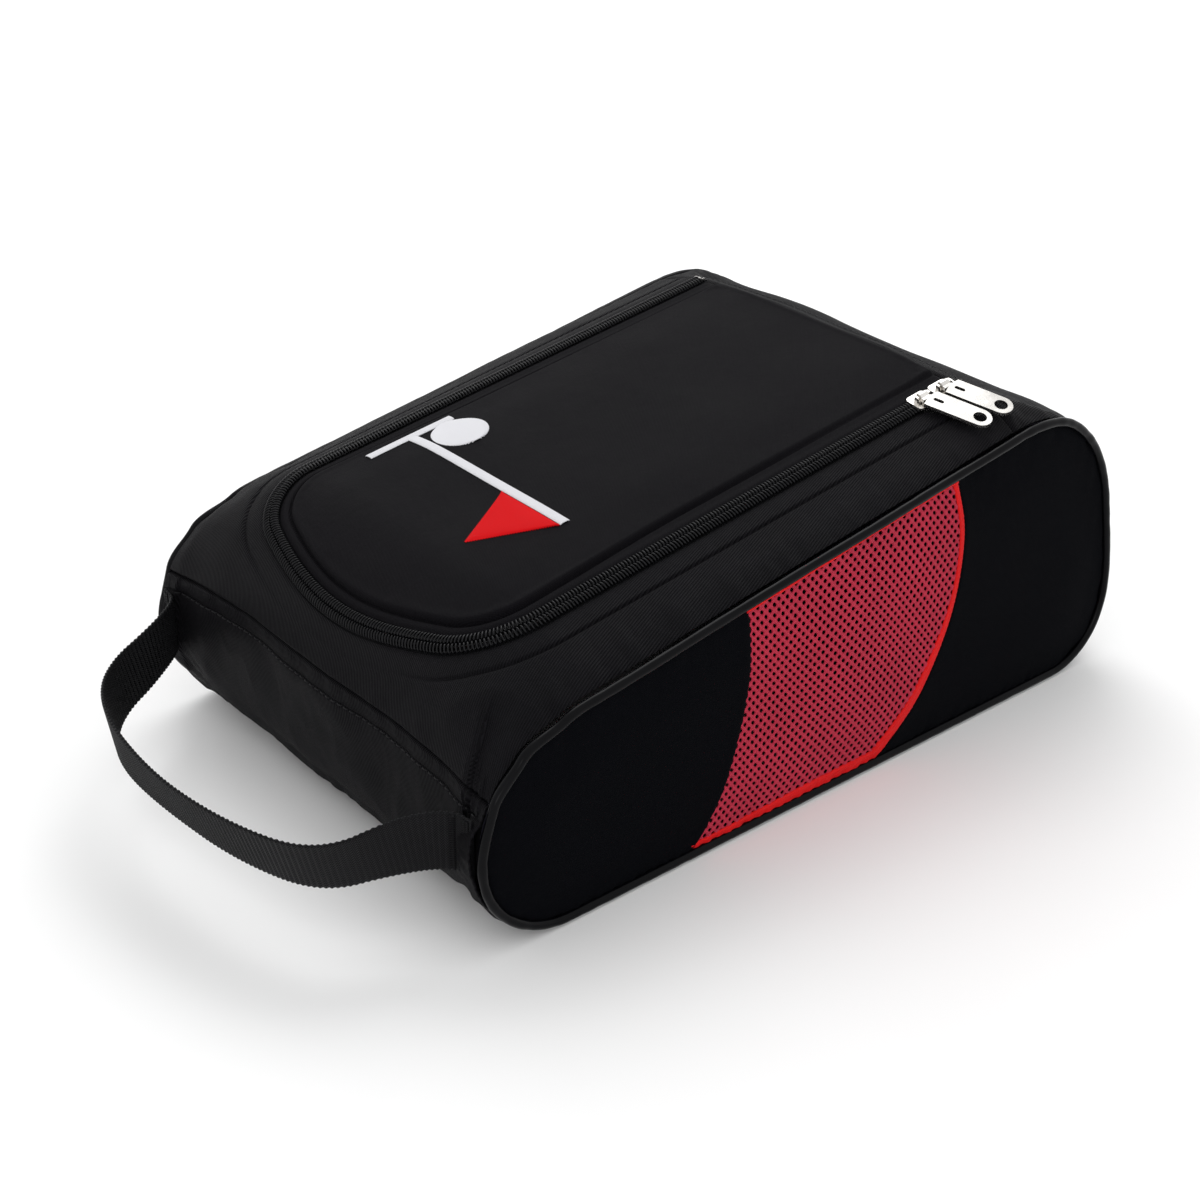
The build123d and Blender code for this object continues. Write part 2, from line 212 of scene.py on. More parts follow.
def zip_plan():
    """Plan of the zip's centre line, from the near leg's heel end round the toe to the far one."""
    hub = ZIP_APEX + ZIP_FRONT_R - HALF
    corner_y = ZIP_LEG_Y - ZIP_CORNER_R
    corner_x = hub - math.sqrt((ZIP_FRONT_R - ZIP_CORNER_R) ** 2 - corner_y ** 2)
    reach = ZIP_FRONT_R / (ZIP_FRONT_R - ZIP_CORNER_R)
    touch = np.array([hub + (corner_x - hub) * reach, corner_y * reach])
    turn = math.atan2(touch[1] - corner_y, corner_x - touch[0])
    bend = np.linspace(math.pi / 2, turn, 40)
    near_bend = np.stack([corner_x - ZIP_CORNER_R * np.cos(bend),
                          -corner_y - ZIP_CORNER_R * np.sin(bend)], -1)
    half_front = math.asin(touch[1] / ZIP_FRONT_R)
    swing = np.linspace(-half_front, half_front, 90)
    front = np.stack([hub - ZIP_FRONT_R * np.cos(swing), ZIP_FRONT_R * np.sin(swing)], -1)
    far_bend = near_bend[::-1] * [1, -1]
    legs = np.linspace(ZIP_END - HALF, corner_x, 160)
    near_leg = np.stack([legs, np.full(legs.shape, -ZIP_LEG_Y)], -1)
    return np.concatenate([near_leg, near_bend[1:], front[1:-1], far_bend, near_leg[-2::-1] * [1, -1]])


def make_zip():
    plan = resample(zip_plan(), 1200)
    t = top_t(plan[:, 0], plan[:, 1])
    points = resample(form(t, plan[:, 1]), 1200)
    t = top_t(points[:, 0], points[:, 1])
    normal = outward(t, points[:, 1])
    tangent = unit(np.gradient(points, axis=0))
    side = unit(np.cross(normal, tangent))
    return {"points": points, "normal": normal, "tangent": tangent, "side": side,
            "run": along_path(points)}


ZIP = make_zip()
ZIP_RUN = ZIP["run"][-1]


def zip_value(name, run):
    return np.stack([np.interp(run, ZIP["run"], ZIP[name][:, k]) for k in range(3)], -1)


def zip_t_y(run, offset):
    """Surface coordinates at a distance offset outwards from the zip's centre line."""
    place = raised(zip_value("points", run), zip_value("side", run), offset)
    return top_t(place[..., 0], place[..., 1]), place[..., 1]


def nearest(points, line):
    """Distance from each point to the nearest point of a line."""
    flat = points.reshape(-1, points.shape[-1])
    found = np.empty(len(flat))
    for start in range(0, len(flat), BATCH):
        gap = flat[start:start + BATCH, None] - line[None]
        found[start:start + BATCH] = np.sqrt((gap ** 2).sum(-1).min(1))
    return found.reshape(points.shape[:-1])


def zip_distance(points):
    """Distance of each point from the zip's centre line."""
    return nearest(points, ZIP["points"][::4])


# -------------------------------- small shape helpers

def ripple(points, wavelength, seed, parts=7):
    """Smooth noise of about unit height with one typical wavelength."""
    rng = np.random.default_rng(seed)
    total = np.zeros(points.shape[:-1])
    for _ in range(parts):
        heading = unit(rng.normal(size=points.shape[-1]))
        pitch = wavelength * rng.uniform(0.7, 1.5)
        total += np.sin(2 * np.pi * (points @ heading) / pitch + rng.uniform(0, 6.28))
    return total / math.sqrt(parts)


def beside(points, a, b):
    """Share of the way from a to b at each point's foot on that line, and its offset from there."""
    start, way = np.array(a, float), np.array(b, float) - np.array(a, float)
    share = np.clip(((points - start) @ way) / (way @ way), 0, 1)
    return share, points - start - share[..., None] * way


def fold(points, a, b, height, width):
    """A soft ridge (or a valley, if height is negative) from point a to point b."""
    share, away = beside(points, a, b)
    gap = np.linalg.norm(away, axis=-1)
    ends = smooth(share, 0, 0.25) * (1 - smooth(share, 0.75, 1))
    return height * np.exp(-(gap / width) ** 2) * ends


def crease(points, a, b, height, width, side):
    """A sharp fold: steep towards side, and a long slope away from it."""
    share, away = beside(points, a, b)
    gap = np.linalg.norm(away, axis=-1)
    steep = np.where(away @ unit(np.array(side, float)) > 0, width * 0.13, width)
    ends = smooth(share, 0, 0.3) * (1 - smooth(share, 0.8, 1))
    return height * np.exp(-gap / steep) * ends


def make_object(name, points, faces, uv=None):
    mesh = bpy.data.meshes.new(name)
    mesh.from_pydata((points.reshape(-1, 3) * MM).tolist(), [], faces.tolist())
    if uv is not None:
        layer = mesh.uv_layers.new(name="UVMap")
        corners = np.empty(len(mesh.loops), np.int32)
        mesh.loops.foreach_get("vertex_index", corners)
        layer.data.foreach_set("uv", uv.reshape(-1, 2)[corners].astype(np.float32).ravel())
    mesh.polygons.foreach_set("use_smooth", [True] * len(mesh.polygons))
    mesh.update()
    obj = bpy.data.objects.new(name, mesh)
    bpy.context.scene.collection.objects.link(obj)
    return obj


def grid_faces(rows, cols, wrap_rows=False, wrap_cols=False, base=0):
    i = np.arange(rows if wrap_rows else rows - 1)[:, None]
    j = np.arange(cols if wrap_cols else cols - 1)[None, :]
    i2, j2 = (i + 1) % rows, (j + 1) % cols
    quads = np.stack([i * cols + j, i2 * cols + j, i2 * cols + j2, i * cols + j2], -1)
    return quads.reshape(-1, 4) + base


def settle_modifiers(obj):
    """Bakes the object's modifiers into its mesh."""
    graph = bpy.context.evaluated_depsgraph_get()
    obj.data = bpy.data.meshes.new_from_object(obj.evaluated_get(graph))
    obj.modifiers.clear()
    return obj


def thicken(obj, thickness):
    modifier = obj.modifiers.new("Thickness", "SOLIDIFY")
    modifier.thickness = thickness * MM
    modifier.offset = -1.0
    modifier.use_even_offset = False
    return settle_modifiers(obj)


def cloth_piece(name, points, uv, thickness=FABRIC, flip=False):
    """A grid of points as a sheet of cloth; its front faces out of the bag."""
    faces = grid_faces(*points.shape[:2])
    return thicken(make_object(name, points, faces[:, ::-1] if flip else faces, uv), thickness)


def sweep(name, centre, side, normal, profile, wrap=False):
    """A profile (across, up) carried along a path: a loop if wrap, else with capped ends."""
    ring = centre[:, None, :] + side[:, None, :] * profile[None, :, 0:1]
    ring = ring + normal[:, None, :] * profile[None, :, 1:2]
    rows, cols = ring.shape[:2]
    girth = along_path(profile)
    uv = np.stack(np.broadcast_arrays(girth[None, :], along_path(centre)[:, None]), -1)
    obj = make_object(name, ring, grid_faces(rows, cols, wrap_rows=wrap, wrap_cols=True), uv)
    if not wrap:
        close_ends(obj, rows, cols)
    return obj


def close_ends(obj, rows, cols):
    work = bmesh.new()
    work.from_mesh(obj.data)
    work.verts.ensure_lookup_table()
    work.faces.new([work.verts[k] for k in range(cols)])
    work.faces.new([work.verts[(rows - 1) * cols + k] for k in reversed(range(cols))])
    bmesh.ops.recalc_face_normals(work, faces=work.faces[:])
    work.to_mesh(obj.data)
    work.free()


def round_profile(radius, count):
    turn = np.linspace(0, 2 * np.pi, count, endpoint=False)
    return np.stack([radius * np.cos(turn), radius * np.sin(turn)], -1)


def rings(at, side, up, radius, count=6, flat=1.0):
    """A circle round every point of one or more paths, pressed flat along up."""
    turn = np.linspace(0, 2 * np.pi, count, endpoint=False)[:, None]
    around = side[..., None, :] * np.cos(turn) + up[..., None, :] * (flat * np.sin(turn))
    return at[..., None, :] + around * np.asarray(radius)[..., None, None]


def path_frames(centre, up):
    """Side and normal vectors along a path, the normal as near to up as it goes."""
    tangent = unit(np.gradient(centre, axis=0))
    side = unit(np.cross(tangent, up))
    return side, np.cross(side, tangent)


STITCH = 2.7
STITCH_GAP = 1.0
STITCH_WIDTH = 0.5


def stitches(name, points, normals):
    """Thread stitches along a path: each one a short rounded strand that dives at both ends."""
    run = along_path(points)
    starts = np.arange(0.5, run[-1] - STITCH, STITCH + STITCH_GAP)
    u = np.linspace(0, 1, 7)
    places = starts[:, None] + u[None, :] * STITCH
    at = np.stack([np.interp(places, run, points[:, k]) for k in range(3)], -1)
    up = unit(np.stack([np.interp(places, run, normals[:, k]) for k in range(3)], -1))
    side = unit(np.cross(np.gradient(at, axis=1), up))
    radius = STITCH_WIDTH * np.sqrt(np.maximum(1 - (2 * u - 1) ** 6, 0.05))
    dive = STITCH_WIDTH * (0.75 - 1.6 * np.abs(2 * u - 1) ** 4)
    return strands(name, rings(raised(at, up, dive[None]), side, up, radius * 0.5, flat=0.8))


def strands(name, ring):
    """Joins many tubes, given as an array of (tube, along, round, xyz), into one piece."""
    count, rows, cols = ring.shape[:3]
    tube = grid_faces(rows, cols, wrap_cols=True)
    faces = (tube[None] + (np.arange(count) * rows * cols)[:, None, None]).reshape(-1, 4)
    uv = np.zeros((count, rows, cols, 2))
    uv[..., 0] = np.arange(cols) / 3
    uv[..., 1] = np.linspace(0, 3, rows)[None, :, None]
    return make_object(name, ring, faces, uv)


# -------------------------------- cloth simulation

SIM_FRAMES = 22
TOE_SIM = (0.02, 0.010, -1.0, 1.5)  # pressure, growth, lowest and highest lift
HEEL_SIM = (0.02, 0.006, -0.8, 1.2)
LID_SIM = (0.12, 0.003, -0.3, 1.4)


def simulate_lift(points, normals, held, pressure, growth, low, high):
    """How far a grid of cloth, sewn down where held, moves off its flat form when padding
    pushes it out by pressure and it is larger than its frame by growth."""
    rows, cols = points.shape[:2]
    obj = make_object("cloth_trial", points, grid_faces(rows, cols)[:, ::-1])
    group = obj.vertex_groups.new(name="sewn")
    group.add(np.flatnonzero(held.ravel()).tolist(), 1.0, "REPLACE")
    cloth = obj.modifiers.new("Cloth", "CLOTH")
    cloth.settings.quality = 5
    cloth.settings.mass = 0.15
    cloth.settings.vertex_group_mass = "sewn"
    cloth.settings.use_pressure = True
    cloth.settings.uniform_pressure_force = pressure
    cloth.settings.shrink_min = -growth
    cloth.settings.tension_stiffness = 30
    cloth.settings.compression_stiffness = 30
    cloth.settings.bending_stiffness = 0.35
    cloth.settings.effector_weights.gravity = 0.35
    cloth.point_cache.frame_start = 1
    cloth.point_cache.frame_end = SIM_FRAMES
    scene = bpy.context.scene
    for step in range(1, SIM_FRAMES + 1):
        scene.frame_set(step)
    graph = bpy.context.evaluated_depsgraph_get()
    settled = obj.evaluated_get(graph).to_mesh()
    co = np.empty(rows * cols * 3, np.float32)
    settled.vertices.foreach_get("co", co)
    moved = co.reshape(rows, cols, 3) / MM - points
    bpy.data.objects.remove(obj)
    scene.frame_set(1)
    return np.clip((moved * normals).sum(-1), low, high)


def spread(field, rows, cols):
    """A coarse grid's values on a finer grid, smoothly."""
    u = np.linspace(0, field.shape[0] - 1, rows)
    v = np.linspace(0, field.shape[1] - 1, cols)
    across = np.stack([np.interp(v, np.arange(field.shape[1]), line) for line in field])
    return np.stack([np.interp(u, np.arange(field.shape[0]), line) for line in across.T], -1)


# -------------------------------- materials

def new_material(name):
    material = bpy.data.materials.new(name)
    material.use_nodes = True
    return material, material.node_tree, material.node_tree.nodes["Principled BSDF"]


def add(tree, kind, **inputs):
    """A node with its sockets set: a node socket is linked, anything else is a value."""
    node = tree.nodes.new(kind)
    for key, value in inputs.items():
        name = key.replace("_", " ") if isinstance(key, str) else key
        socket = node.inputs[int(name[1:])] if name[0] == "i" and name[1:].isdigit() else node.inputs[name]
        if isinstance(value, bpy.types.NodeSocket):
            tree.links.new(value, socket)
        else:
            socket.default_value = value
    return node


def maths(tree, operation, a, b=0.0):
    node = add(tree, "ShaderNodeMath", i0=a, i1=b)
    node.operation = operation
    return node.outputs[0]


def ramp(tree, value, stops):
    node = add(tree, "ShaderNodeValToRGB", Fac=value)
    bar = node.color_ramp
    while len(bar.elements) < len(stops):
        bar.elements.new(0.5)
    for element, (place, colour) in zip(bar.elements, stops):
        element.position = place
        element.color = (*colour, 1)
    return node.outputs["Color"]


def coordinates(tree, from_uv, pitch, turn=0.0):
    """Surface coordinates counted in weave pitches: from the UV map, in millimetres, or in metres."""
    if from_uv:
        source, size = tree.nodes.new("ShaderNodeUVMap").outputs["UV"], 1 / pitch
    else:
        source, size = tree.nodes.new("ShaderNodeTexCoord").outputs["Object"], 1 / (pitch * MM)
    node = add(tree, "ShaderNodeMapping", Vector=source, Rotation=(0, 0, turn), Scale=(size, size, size))
    return node.outputs["Vector"]


def weave(tree, where, twill):
    """Height of a weave, 0 to 1: warp and weft threads, with a diagonal rib by the share twill."""
    split = add(tree, "ShaderNodeSeparateXYZ", Vector=where)
    u = maths(tree, "MULTIPLY", split.outputs[0], 2 * math.pi)
    v = maths(tree, "MULTIPLY", split.outputs[1], 2 * math.pi)
    plain = maths(tree, "MULTIPLY", maths(tree, "SINE", u), maths(tree, "SINE", v))
    rib = maths(tree, "SINE", maths(tree, "ADD", u, v))
    both = maths(tree, "ADD", maths(tree, "MULTIPLY", plain, 0.5 * (1 - twill)),
                 maths(tree, "MULTIPLY", rib, 0.5 * twill))
    return maths(tree, "ADD", both, 0.5)


def noise(tree, where, scale, detail=4.0):
    node = add(tree, "ShaderNodeTexNoise", Vector=where, Scale=scale, Detail=detail, Roughness=0.55)
    return node.outputs["Fac"]


def bump(tree, height, depth, strength, below=None):
    """Bump of a height field whose full height is depth millimetres."""
    node = add(tree, "ShaderNodeBump", Height=height, Strength=strength, Distance=depth * MM)
    if below is not None:
        tree.links.new(below, node.inputs["Normal"])
    return node.outputs["Normal"]


def set_inputs(shader, **values):
    for key, value in values.items():
        shader.inputs[key.replace("_", " ")].default_value = value


def sum_of(tree, *terms):
    """Adds up (value, factor) terms."""
    total = maths(tree, "MULTIPLY", *terms[0])
    for value, factor in terms[1:]:
        total = maths(tree, "ADD", total, maths(tree, "MULTIPLY", value, factor))
    return total


def mottled_roughness(tree, shader, patch, depth, rough):
    """Roughness that wanders by depth round the value rough."""
    spot = maths(tree, "ADD", maths(tree, "MULTIPLY", patch, depth), rough - depth / 2)
    tree.links.new(spot, shader.inputs["Roughness"])


def fabric(name, dark, light, pitch, twill, turn=0.0, *, rough, sheen, relief, specular,
           sheen_tint=(1, 1, 1), crinkle=0.3):
    """Woven or knitted cloth: threads of one pitch, slubs, fuzz and broad uneven patches."""
    material, tree, shader = new_material(name)
    where = coordinates(tree, True, pitch, turn)
    broad = coordinates(tree, True, 40.0)
    threads = weave(tree, where, twill)
    slub = noise(tree, where, 0.35, 3.0)
    patch = noise(tree, broad, 1.4, 5.0)
    mixed = sum_of(tree, (threads, 0.5), (slub, 0.3), (patch, 0.35))
    shade = ramp(tree, mixed, [(0.25, dark), (0.85, light)])
    tree.links.new(shade, shader.inputs["Base Color"])
    mottled_roughness(tree, shader, patch, 0.16, rough)
    creased = bump(tree, noise(tree, broad, 3.0, 6.0), 1.6, crinkle)
    fuzzy = bump(tree, slub, 0.15, 0.6, creased)
    tree.links.new(bump(tree, threads, relief, 0.8, fuzzy), shader.inputs["Normal"])
    set_inputs(shader, Sheen_Weight=sheen, Sheen_Roughness=0.45, Sheen_Tint=(*sheen_tint, 1),
               Specular_IOR_Level=specular)
    return material


def moulded(name, dark, light, rough, grain, metallic=0.0, from_uv=True, specular=0.5):
    """Vinyl, nylon, board or metal: fine grain, faint mottling and scuffs in its roughness."""
    material, tree, shader = new_material(name)
    fine = noise(tree, coordinates(tree, from_uv, grain), 1.0, 3.0)
    patch = noise(tree, coordinates(tree, from_uv, 12.0), 1.0, 5.0)
    tree.links.new(ramp(tree, patch, [(0.3, dark), (0.7, light)]), shader.inputs["Base Color"])
    mottled_roughness(tree, shader, patch, 0.18, rough)
    tree.links.new(bump(tree, fine, 0.05, 0.35), shader.inputs["Normal"])
    set_inputs(shader, Metallic=metallic, Specular_IOR_Level=specular)
    return material


MATERIALS = {
    "oxford_black": fabric("oxford", (0.0005, 0.0004, 0.0008), (0.0056, 0.0051, 0.0068), 1.3, 0.8,
                           0.5, rough=0.6, sheen=0.006, relief=0.5, specular=0.07, crinkle=0.8),
    "lid_fabric": fabric("lid_cloth", (0.0020, 0.0018, 0.0025), (0.0050, 0.0044, 0.0060), 0.8, 0.35,
                         rough=0.7, sheen=0.008, relief=0.25, specular=0.05),
    "side_fabric": fabric("side_cloth", (0.0008, 0.0009, 0.0015), (0.0026, 0.0028, 0.0040), 0.8, 0.2,
                          rough=0.8, sheen=0.004, relief=0.22, specular=0.02),
    "red_mesh": fabric("red_knit", (0.30, 0.013, 0.032), (0.62, 0.03, 0.07), 0.5, 0.8, 0.8,
                       rough=0.55, sheen=0.05, relief=0.2, specular=0.15, sheen_tint=(1, 0.55, 0.65)),
    "red_band": fabric("red_binding", (0.5, 0.001, 0.002), (0.82, 0.006, 0.008), 0.6, 0.2,
                       rough=0.6, sheen=0.03, relief=0.25, specular=0.15, sheen_tint=(1, 0.4, 0.4)),
    "lining": fabric("lining_cloth", (0.008, 0.007, 0.016), (0.022, 0.019, 0.036), 0.5, 0.1,
                     rough=0.5, sheen=0.02, relief=0.15, specular=0.3),
    "foam": moulded("foam", (0.02, 0.02, 0.025), (0.04, 0.04, 0.045), 0.9, 1.2, specular=0.1),
    "board": moulded("board", (0.01, 0.01, 0.012), (0.02, 0.02, 0.022), 0.6, 1.0, from_uv=False),
    "piping_vinyl": moulded("piping", (0.0009, 0.0009, 0.0014), (0.0022, 0.0022, 0.0030), 0.22, 0.7,
                            specular=0.09),
    "zip_tape": fabric("zip_tape", (0.0010, 0.0010, 0.0014), (0.0042, 0.0042, 0.0050), 0.9, 0.1,
                       rough=0.7, sheen=0.005, relief=0.3, specular=0.06),
    "zip_coil": moulded("zip_coil", (0.0013, 0.0013, 0.0019), (0.0045, 0.0045, 0.0058), 0.3, 0.5,
                        specular=0.18),
    "nickel": moulded("nickel", (0.66, 0.64, 0.61), (0.83, 0.81, 0.78), 0.24, 0.6, metallic=1.0,
                      from_uv=False),
    "webbing": fabric("webbing", (0.0006, 0.0006, 0.0009), (0.0072, 0.0072, 0.0086), 1.1, 0.2, 0.0,
                      rough=0.5, sheen=0.006, relief=0.45, specular=0.12),
    "thread_black": moulded("black_thread", (0.003, 0.003, 0.004), (0.008, 0.008, 0.010), 0.5, 0.3,
                            specular=0.3),
    "thread_white": moulded("white_thread", (0.58, 0.58, 0.61), (0.78, 0.78, 0.80), 0.5, 0.3,
                            specular=0.2),
    "thread_red": moulded("red_thread", (0.5, 0.002, 0.004), (0.74, 0.006, 0.010), 0.6, 0.3,
                          specular=0.06),
}


def dress(obj, material):
    """Gives a piece its material, found by the name of the record's slot."""
    obj.data.materials.clear()
    obj.data.materials.append(MATERIALS[material])
    return obj


# -------------------------------- relief of the cloth panels

LOW_TOE = 0.8  # how far the toe's lower part stands out
ZIP_FABRIC = 4.2  # cloth stops this far from the zip's centre line
LID_SEAM_TOE = 8.6  # seam of the lid's raised panel, at the toe and along a leg
LID_SEAM_LEG = 11.5
BAND_SEAM = 13.5  # seam outside the zip

FOLDS = [  # from, to, height, width
    ((-120, -104, 92), (-168, -70, 86), 0.9, 6),
    ((-60, -96, 103), (20, -92, 117), 0.7, 5),
    ((-120, -100, 92), (-60, -103, 100), -0.7, 5),
    ((0, -104, 110), (60, -96, 122), 0.6, 6),
    ((-163, 60, 75), (-172, 20, 30), -1.2, 9),
    ((-166, -30, 70), (-172, -50, 22), -1.0, 10),
    ((-168, 30, 62), (-168, -30, 52), 0.9, 8),
    ((-170, 80, 66), (-172, 92, 26), 1.0, 7),
    ((-152, -104, 76), (-165, -62, 74), -0.8, 5),
]
CREASES = [  # from, to, height, width, steep side
    ((-142, -83, 88), (-174, -100, 50), 2.2, 6, (0.5, -1, 0)),
    ((-143, -86, 88), (-174, -102, 50), -4.2, 13, (-0.5, 1, 0)),
    ((-160, -98, 78), (-173, -104, 60), 1.6, 4, (0.2, -1, 0)),
    ((-164, -104, 74), (-174, -107, 60), 1.4, 3, (0, -1, 0)),
]


def crumple(points, wavelength, seed):
    """Crisp little creases: smooth noise folded along its zero lines."""
    first, second = ripple(points, wavelength, seed, 5), ripple(points, wavelength * 0.6, seed + 1, 5)
    return 0.5 - np.minimum(np.abs(first), 1) * 0.7 + 0.3 * (0.5 - np.minimum(np.abs(second), 1))


def shell_relief(points, y):
    """Folds, puckers beside the piping and soft unevenness of the body cloth."""
    toe = 1 - 0.6 * smooth(points[..., 0], -120, 0)
    lift = 0.5 * ripple(points, 70, 3) + toe * (0.18 * ripple(points, 22, 4) + 0.6 * crumple(points, 60, 14))
    for row in FOLDS:
        lift += fold(points, *row)
    for row in CREASES:
        lift += crease(points, *row)
    rim = SHELL_Y - np.abs(y)
    lift += 0.22 * np.exp(-rim / 8) * ripple(points * [1, 0, 1], 9, 5)
    lift += 0.4 * bell(rim, 7, 4) - 0.5 * np.exp(-rim / 1.8)
    return lift


def seam_dip(gap, width, depth):
    return -depth * np.exp(-(gap / width) ** 2)


# -------------------------------- cloth panels

def ends_dense(count, power=1.5):
    """Values from 0 to 1, closer together at both ends."""
    w = np.linspace(-1, 1, count)
    return 0.5 + 0.5 * np.sign(w) * (1 - (1 - np.abs(w)) ** power)


def band_panel(name, t_from, t_to, rows, cols, relief, sim=None):
    """A panel that runs the bag's whole width between two outline parameters."""
    across = (ends_dense(cols) * 2 - 1)[None, :] * SHELL_Y
    t, y, points, normals = surface(np.linspace(t_from, t_to, rows)[:, None], across)
    height = relief(points, t, y)
    if sim:
        height = height + panel_sim(t_from, t_to, rows, y, *sim)
    points = raised(points, normals, height)
    points[..., 2] = np.maximum(points[..., 2], -0.2)
    return cloth_piece(name, points, unrolled(t, y), flip=True)


def panel_sim(t_from, t_to, rows, y, pressure, growth, low, high):
    """The simulated lift of a band panel, on a coarse grid, spread over its rows and places y."""
    trial_y = np.linspace(-SHELL_Y, SHELL_Y, 60)
    t, _, points, normals = surface(np.linspace(t_from, t_to, 30)[:, None], trial_y[None, :])
    held = np.zeros(t.shape, bool)
    held[[0, -1]] = True
    held[:, [0, -1]] = True
    field = spread(simulate_lift(points, normals, held, pressure, growth, low, high), rows, 60)
    return np.stack([np.interp(line_y, trial_y, line) for line_y, line in zip(y, field)])


def toe_relief(points, t, y):
    seam = arc(t) - arc(TOE_SEAM_T)
    lift = shell_relief(points, y) + seam_dip(seam, 0.8, 2.0) + seam_dip(seam - 8, 0.7, 0.8)
    lift += 0.35 * bell(seam, 3.5, 2.5) + 0.3 * np.exp(-seam / 12) * ripple(points * [0, 1, 0], 11, 6)
    tab = smooth(SHELL_Y - np.abs(y), 9.2, 7.8) * bell(points[..., 2], HANDLE_Z, 17)
    lift += 2.6 * tab * smooth(points[..., 0], -150, -165)
    lift += 0.75 * crumple(points * [0.6, 1, 0.6], 30, 23) * smooth(seam, 6, 20)
    return lift + smooth(points[..., 2], 45, 12) * LOW_TOE * crown(y * 0.98)


def brow_dip(seam, y):
    """The heel's top falls away behind the lid's seam, less so at the near corner."""
    return 3.4 * bell(seam, 26, 14) * smooth(y, -95, -30) * crown(y)


def heel_relief(points, t, y):
    seam = arc(HEEL_SEAM_T) - arc(t)
    lift = shell_relief(points, y) + seam_dip(seam, 1.2, 1.0) + seam_dip(seam - 6, 1.0, 0.35)
    lift += 0.8 * ripple(points * [0.4, 1, 1], 60, 8) * smooth(seam, 0, 30)
    return lift - brow_dip(seam, y)


def base_relief(points, *_):
    return 0.12 * ripple(points, 40, 9) - 0.12


def toe_panel():
    piece = band_panel("toe_panel_cloth", TOE_SEAM_T, TURN_T, 150, 260, toe_relief, TOE_SIM)
    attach(dress(piece, "oxford_black"), "bag")
    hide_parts("toe_end_panel")


def base_cloth():
    piece = band_panel("base_cloth", 0.0, 1.0, 60, 80, base_relief)
    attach(dress(piece, "oxford_black"), "bag")
    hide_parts("base_panel")


def heel_panel():
    piece = band_panel("heel_panel_cloth", 1.0, HEEL_SEAM_T, 190, 200, heel_relief, HEEL_SIM)
    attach(dress(piece, "oxford_black"), "bag")
    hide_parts("heel_panel")


LEG_X = -118.5  # beside the zip's legs the surround reaches straight out to the piping, up to here
BEND = 0.75  # the zip's turn, in radians, that lies opposite the toe seam's corner


def ring_outer(run):
    """Surface coordinates of the surround's outer edge, for places along the zip."""
    turn = np.arctan2(-ZIP["side"][:, 0], np.abs(ZIP["side"][:, 1]))
    leg_end = ZIP["run"][np.argmax(ZIP["points"][:, 0] < LEG_X)]
    middle = ZIP["run"][np.argmax(turn > BEND)]
    away = np.minimum(run, ZIP_RUN - run)
    along = np.clip((away - leg_end) / (middle - leg_end), 0, 1)
    side_y = np.full(run.shape, SHELL_Y * 0.9999)
    leg_t = top_t(np.array(LEG_X), side_y[0])
    side_t = np.where(away < leg_end, top_t(zip_value("points", run)[:, 0], side_y),
                      leg_t + along * (TOE_SEAM_T - leg_t))
    toe_share = np.clip((away - middle) / (ZIP_RUN / 2 - middle), 0, 1)
    t = np.where(away < middle, side_t, TOE_SEAM_T)
    y = np.where(away < middle, SHELL_Y, SHELL_Y * (1 - toe_share))
    return t, y * np.where(run < ZIP_RUN / 2, -1.0, 1.0)


def surround_grid(rows, cols, inner):
    run = np.linspace(0, ZIP_RUN, rows)
    t_in, y_in = zip_t_y(run, np.full(rows, inner))
    t_in[[0, -1]] = HEEL_SEAM_T
    t_out, y_out = ring_outer(run)
    w = ends_dense(cols)[None, :]
    t = t_in[:, None] * (1 - w) + t_out[:, None] * w
    return t, y_in[:, None] * (1 - w) + y_out[:, None] * w


def top_surround():
    t, y, points, normals = surface(*surround_grid(760, 84, ZIP_FABRIC))
    gap = zip_distance(points)
    fade = 1 - 0.9 * smooth(points[..., 0], -128, -150) * smooth(np.abs(y), 80, 40)
    lift = shell_relief(points, y) * smooth(gap, 10, 24)
    lift += 0.45 * smooth(gap, ZIP_FABRIC - 0.3, 6.2) + seam_dip(gap - BAND_SEAM, 0.6, 1.2) * fade
    lift += 0.35 * bell(gap, 9, 3.0) * fade + 0.25 * smooth(gap, BAND_SEAM, BAND_SEAM + 3)
    lift += seam_dip(arc(TOE_SEAM_T) - arc(t), 0.8, 1.6) + seam_dip(arc(t) - arc(HEEL_SEAM_T), 0.8, 0.9)
    piece = cloth_piece("top_surround_cloth", raised(points, normals, lift), unrolled(t, y))
    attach(dress(piece, "oxford_black"), "bag")
    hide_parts("top_surround")


def coons(near, far, heel, toe, u, v):
    """Points inside four edges; near and far run heel to toe, heel and toe run near to far."""
    u, v = u[:, None, None], v[None, :, None]
    ruled = (1 - v) * near[:, None] + v * far[:, None] + (1 - u) * heel[None] + u * toe[None]
    low = (1 - v) * near[0] + v * far[0]
    high = (1 - v) * near[-1] + v * far[-1]
    return ruled - (1 - u) * low - u * high


TOE_EDGE_X = -143  # the lid's grid turns from its near edge to its toe edge here


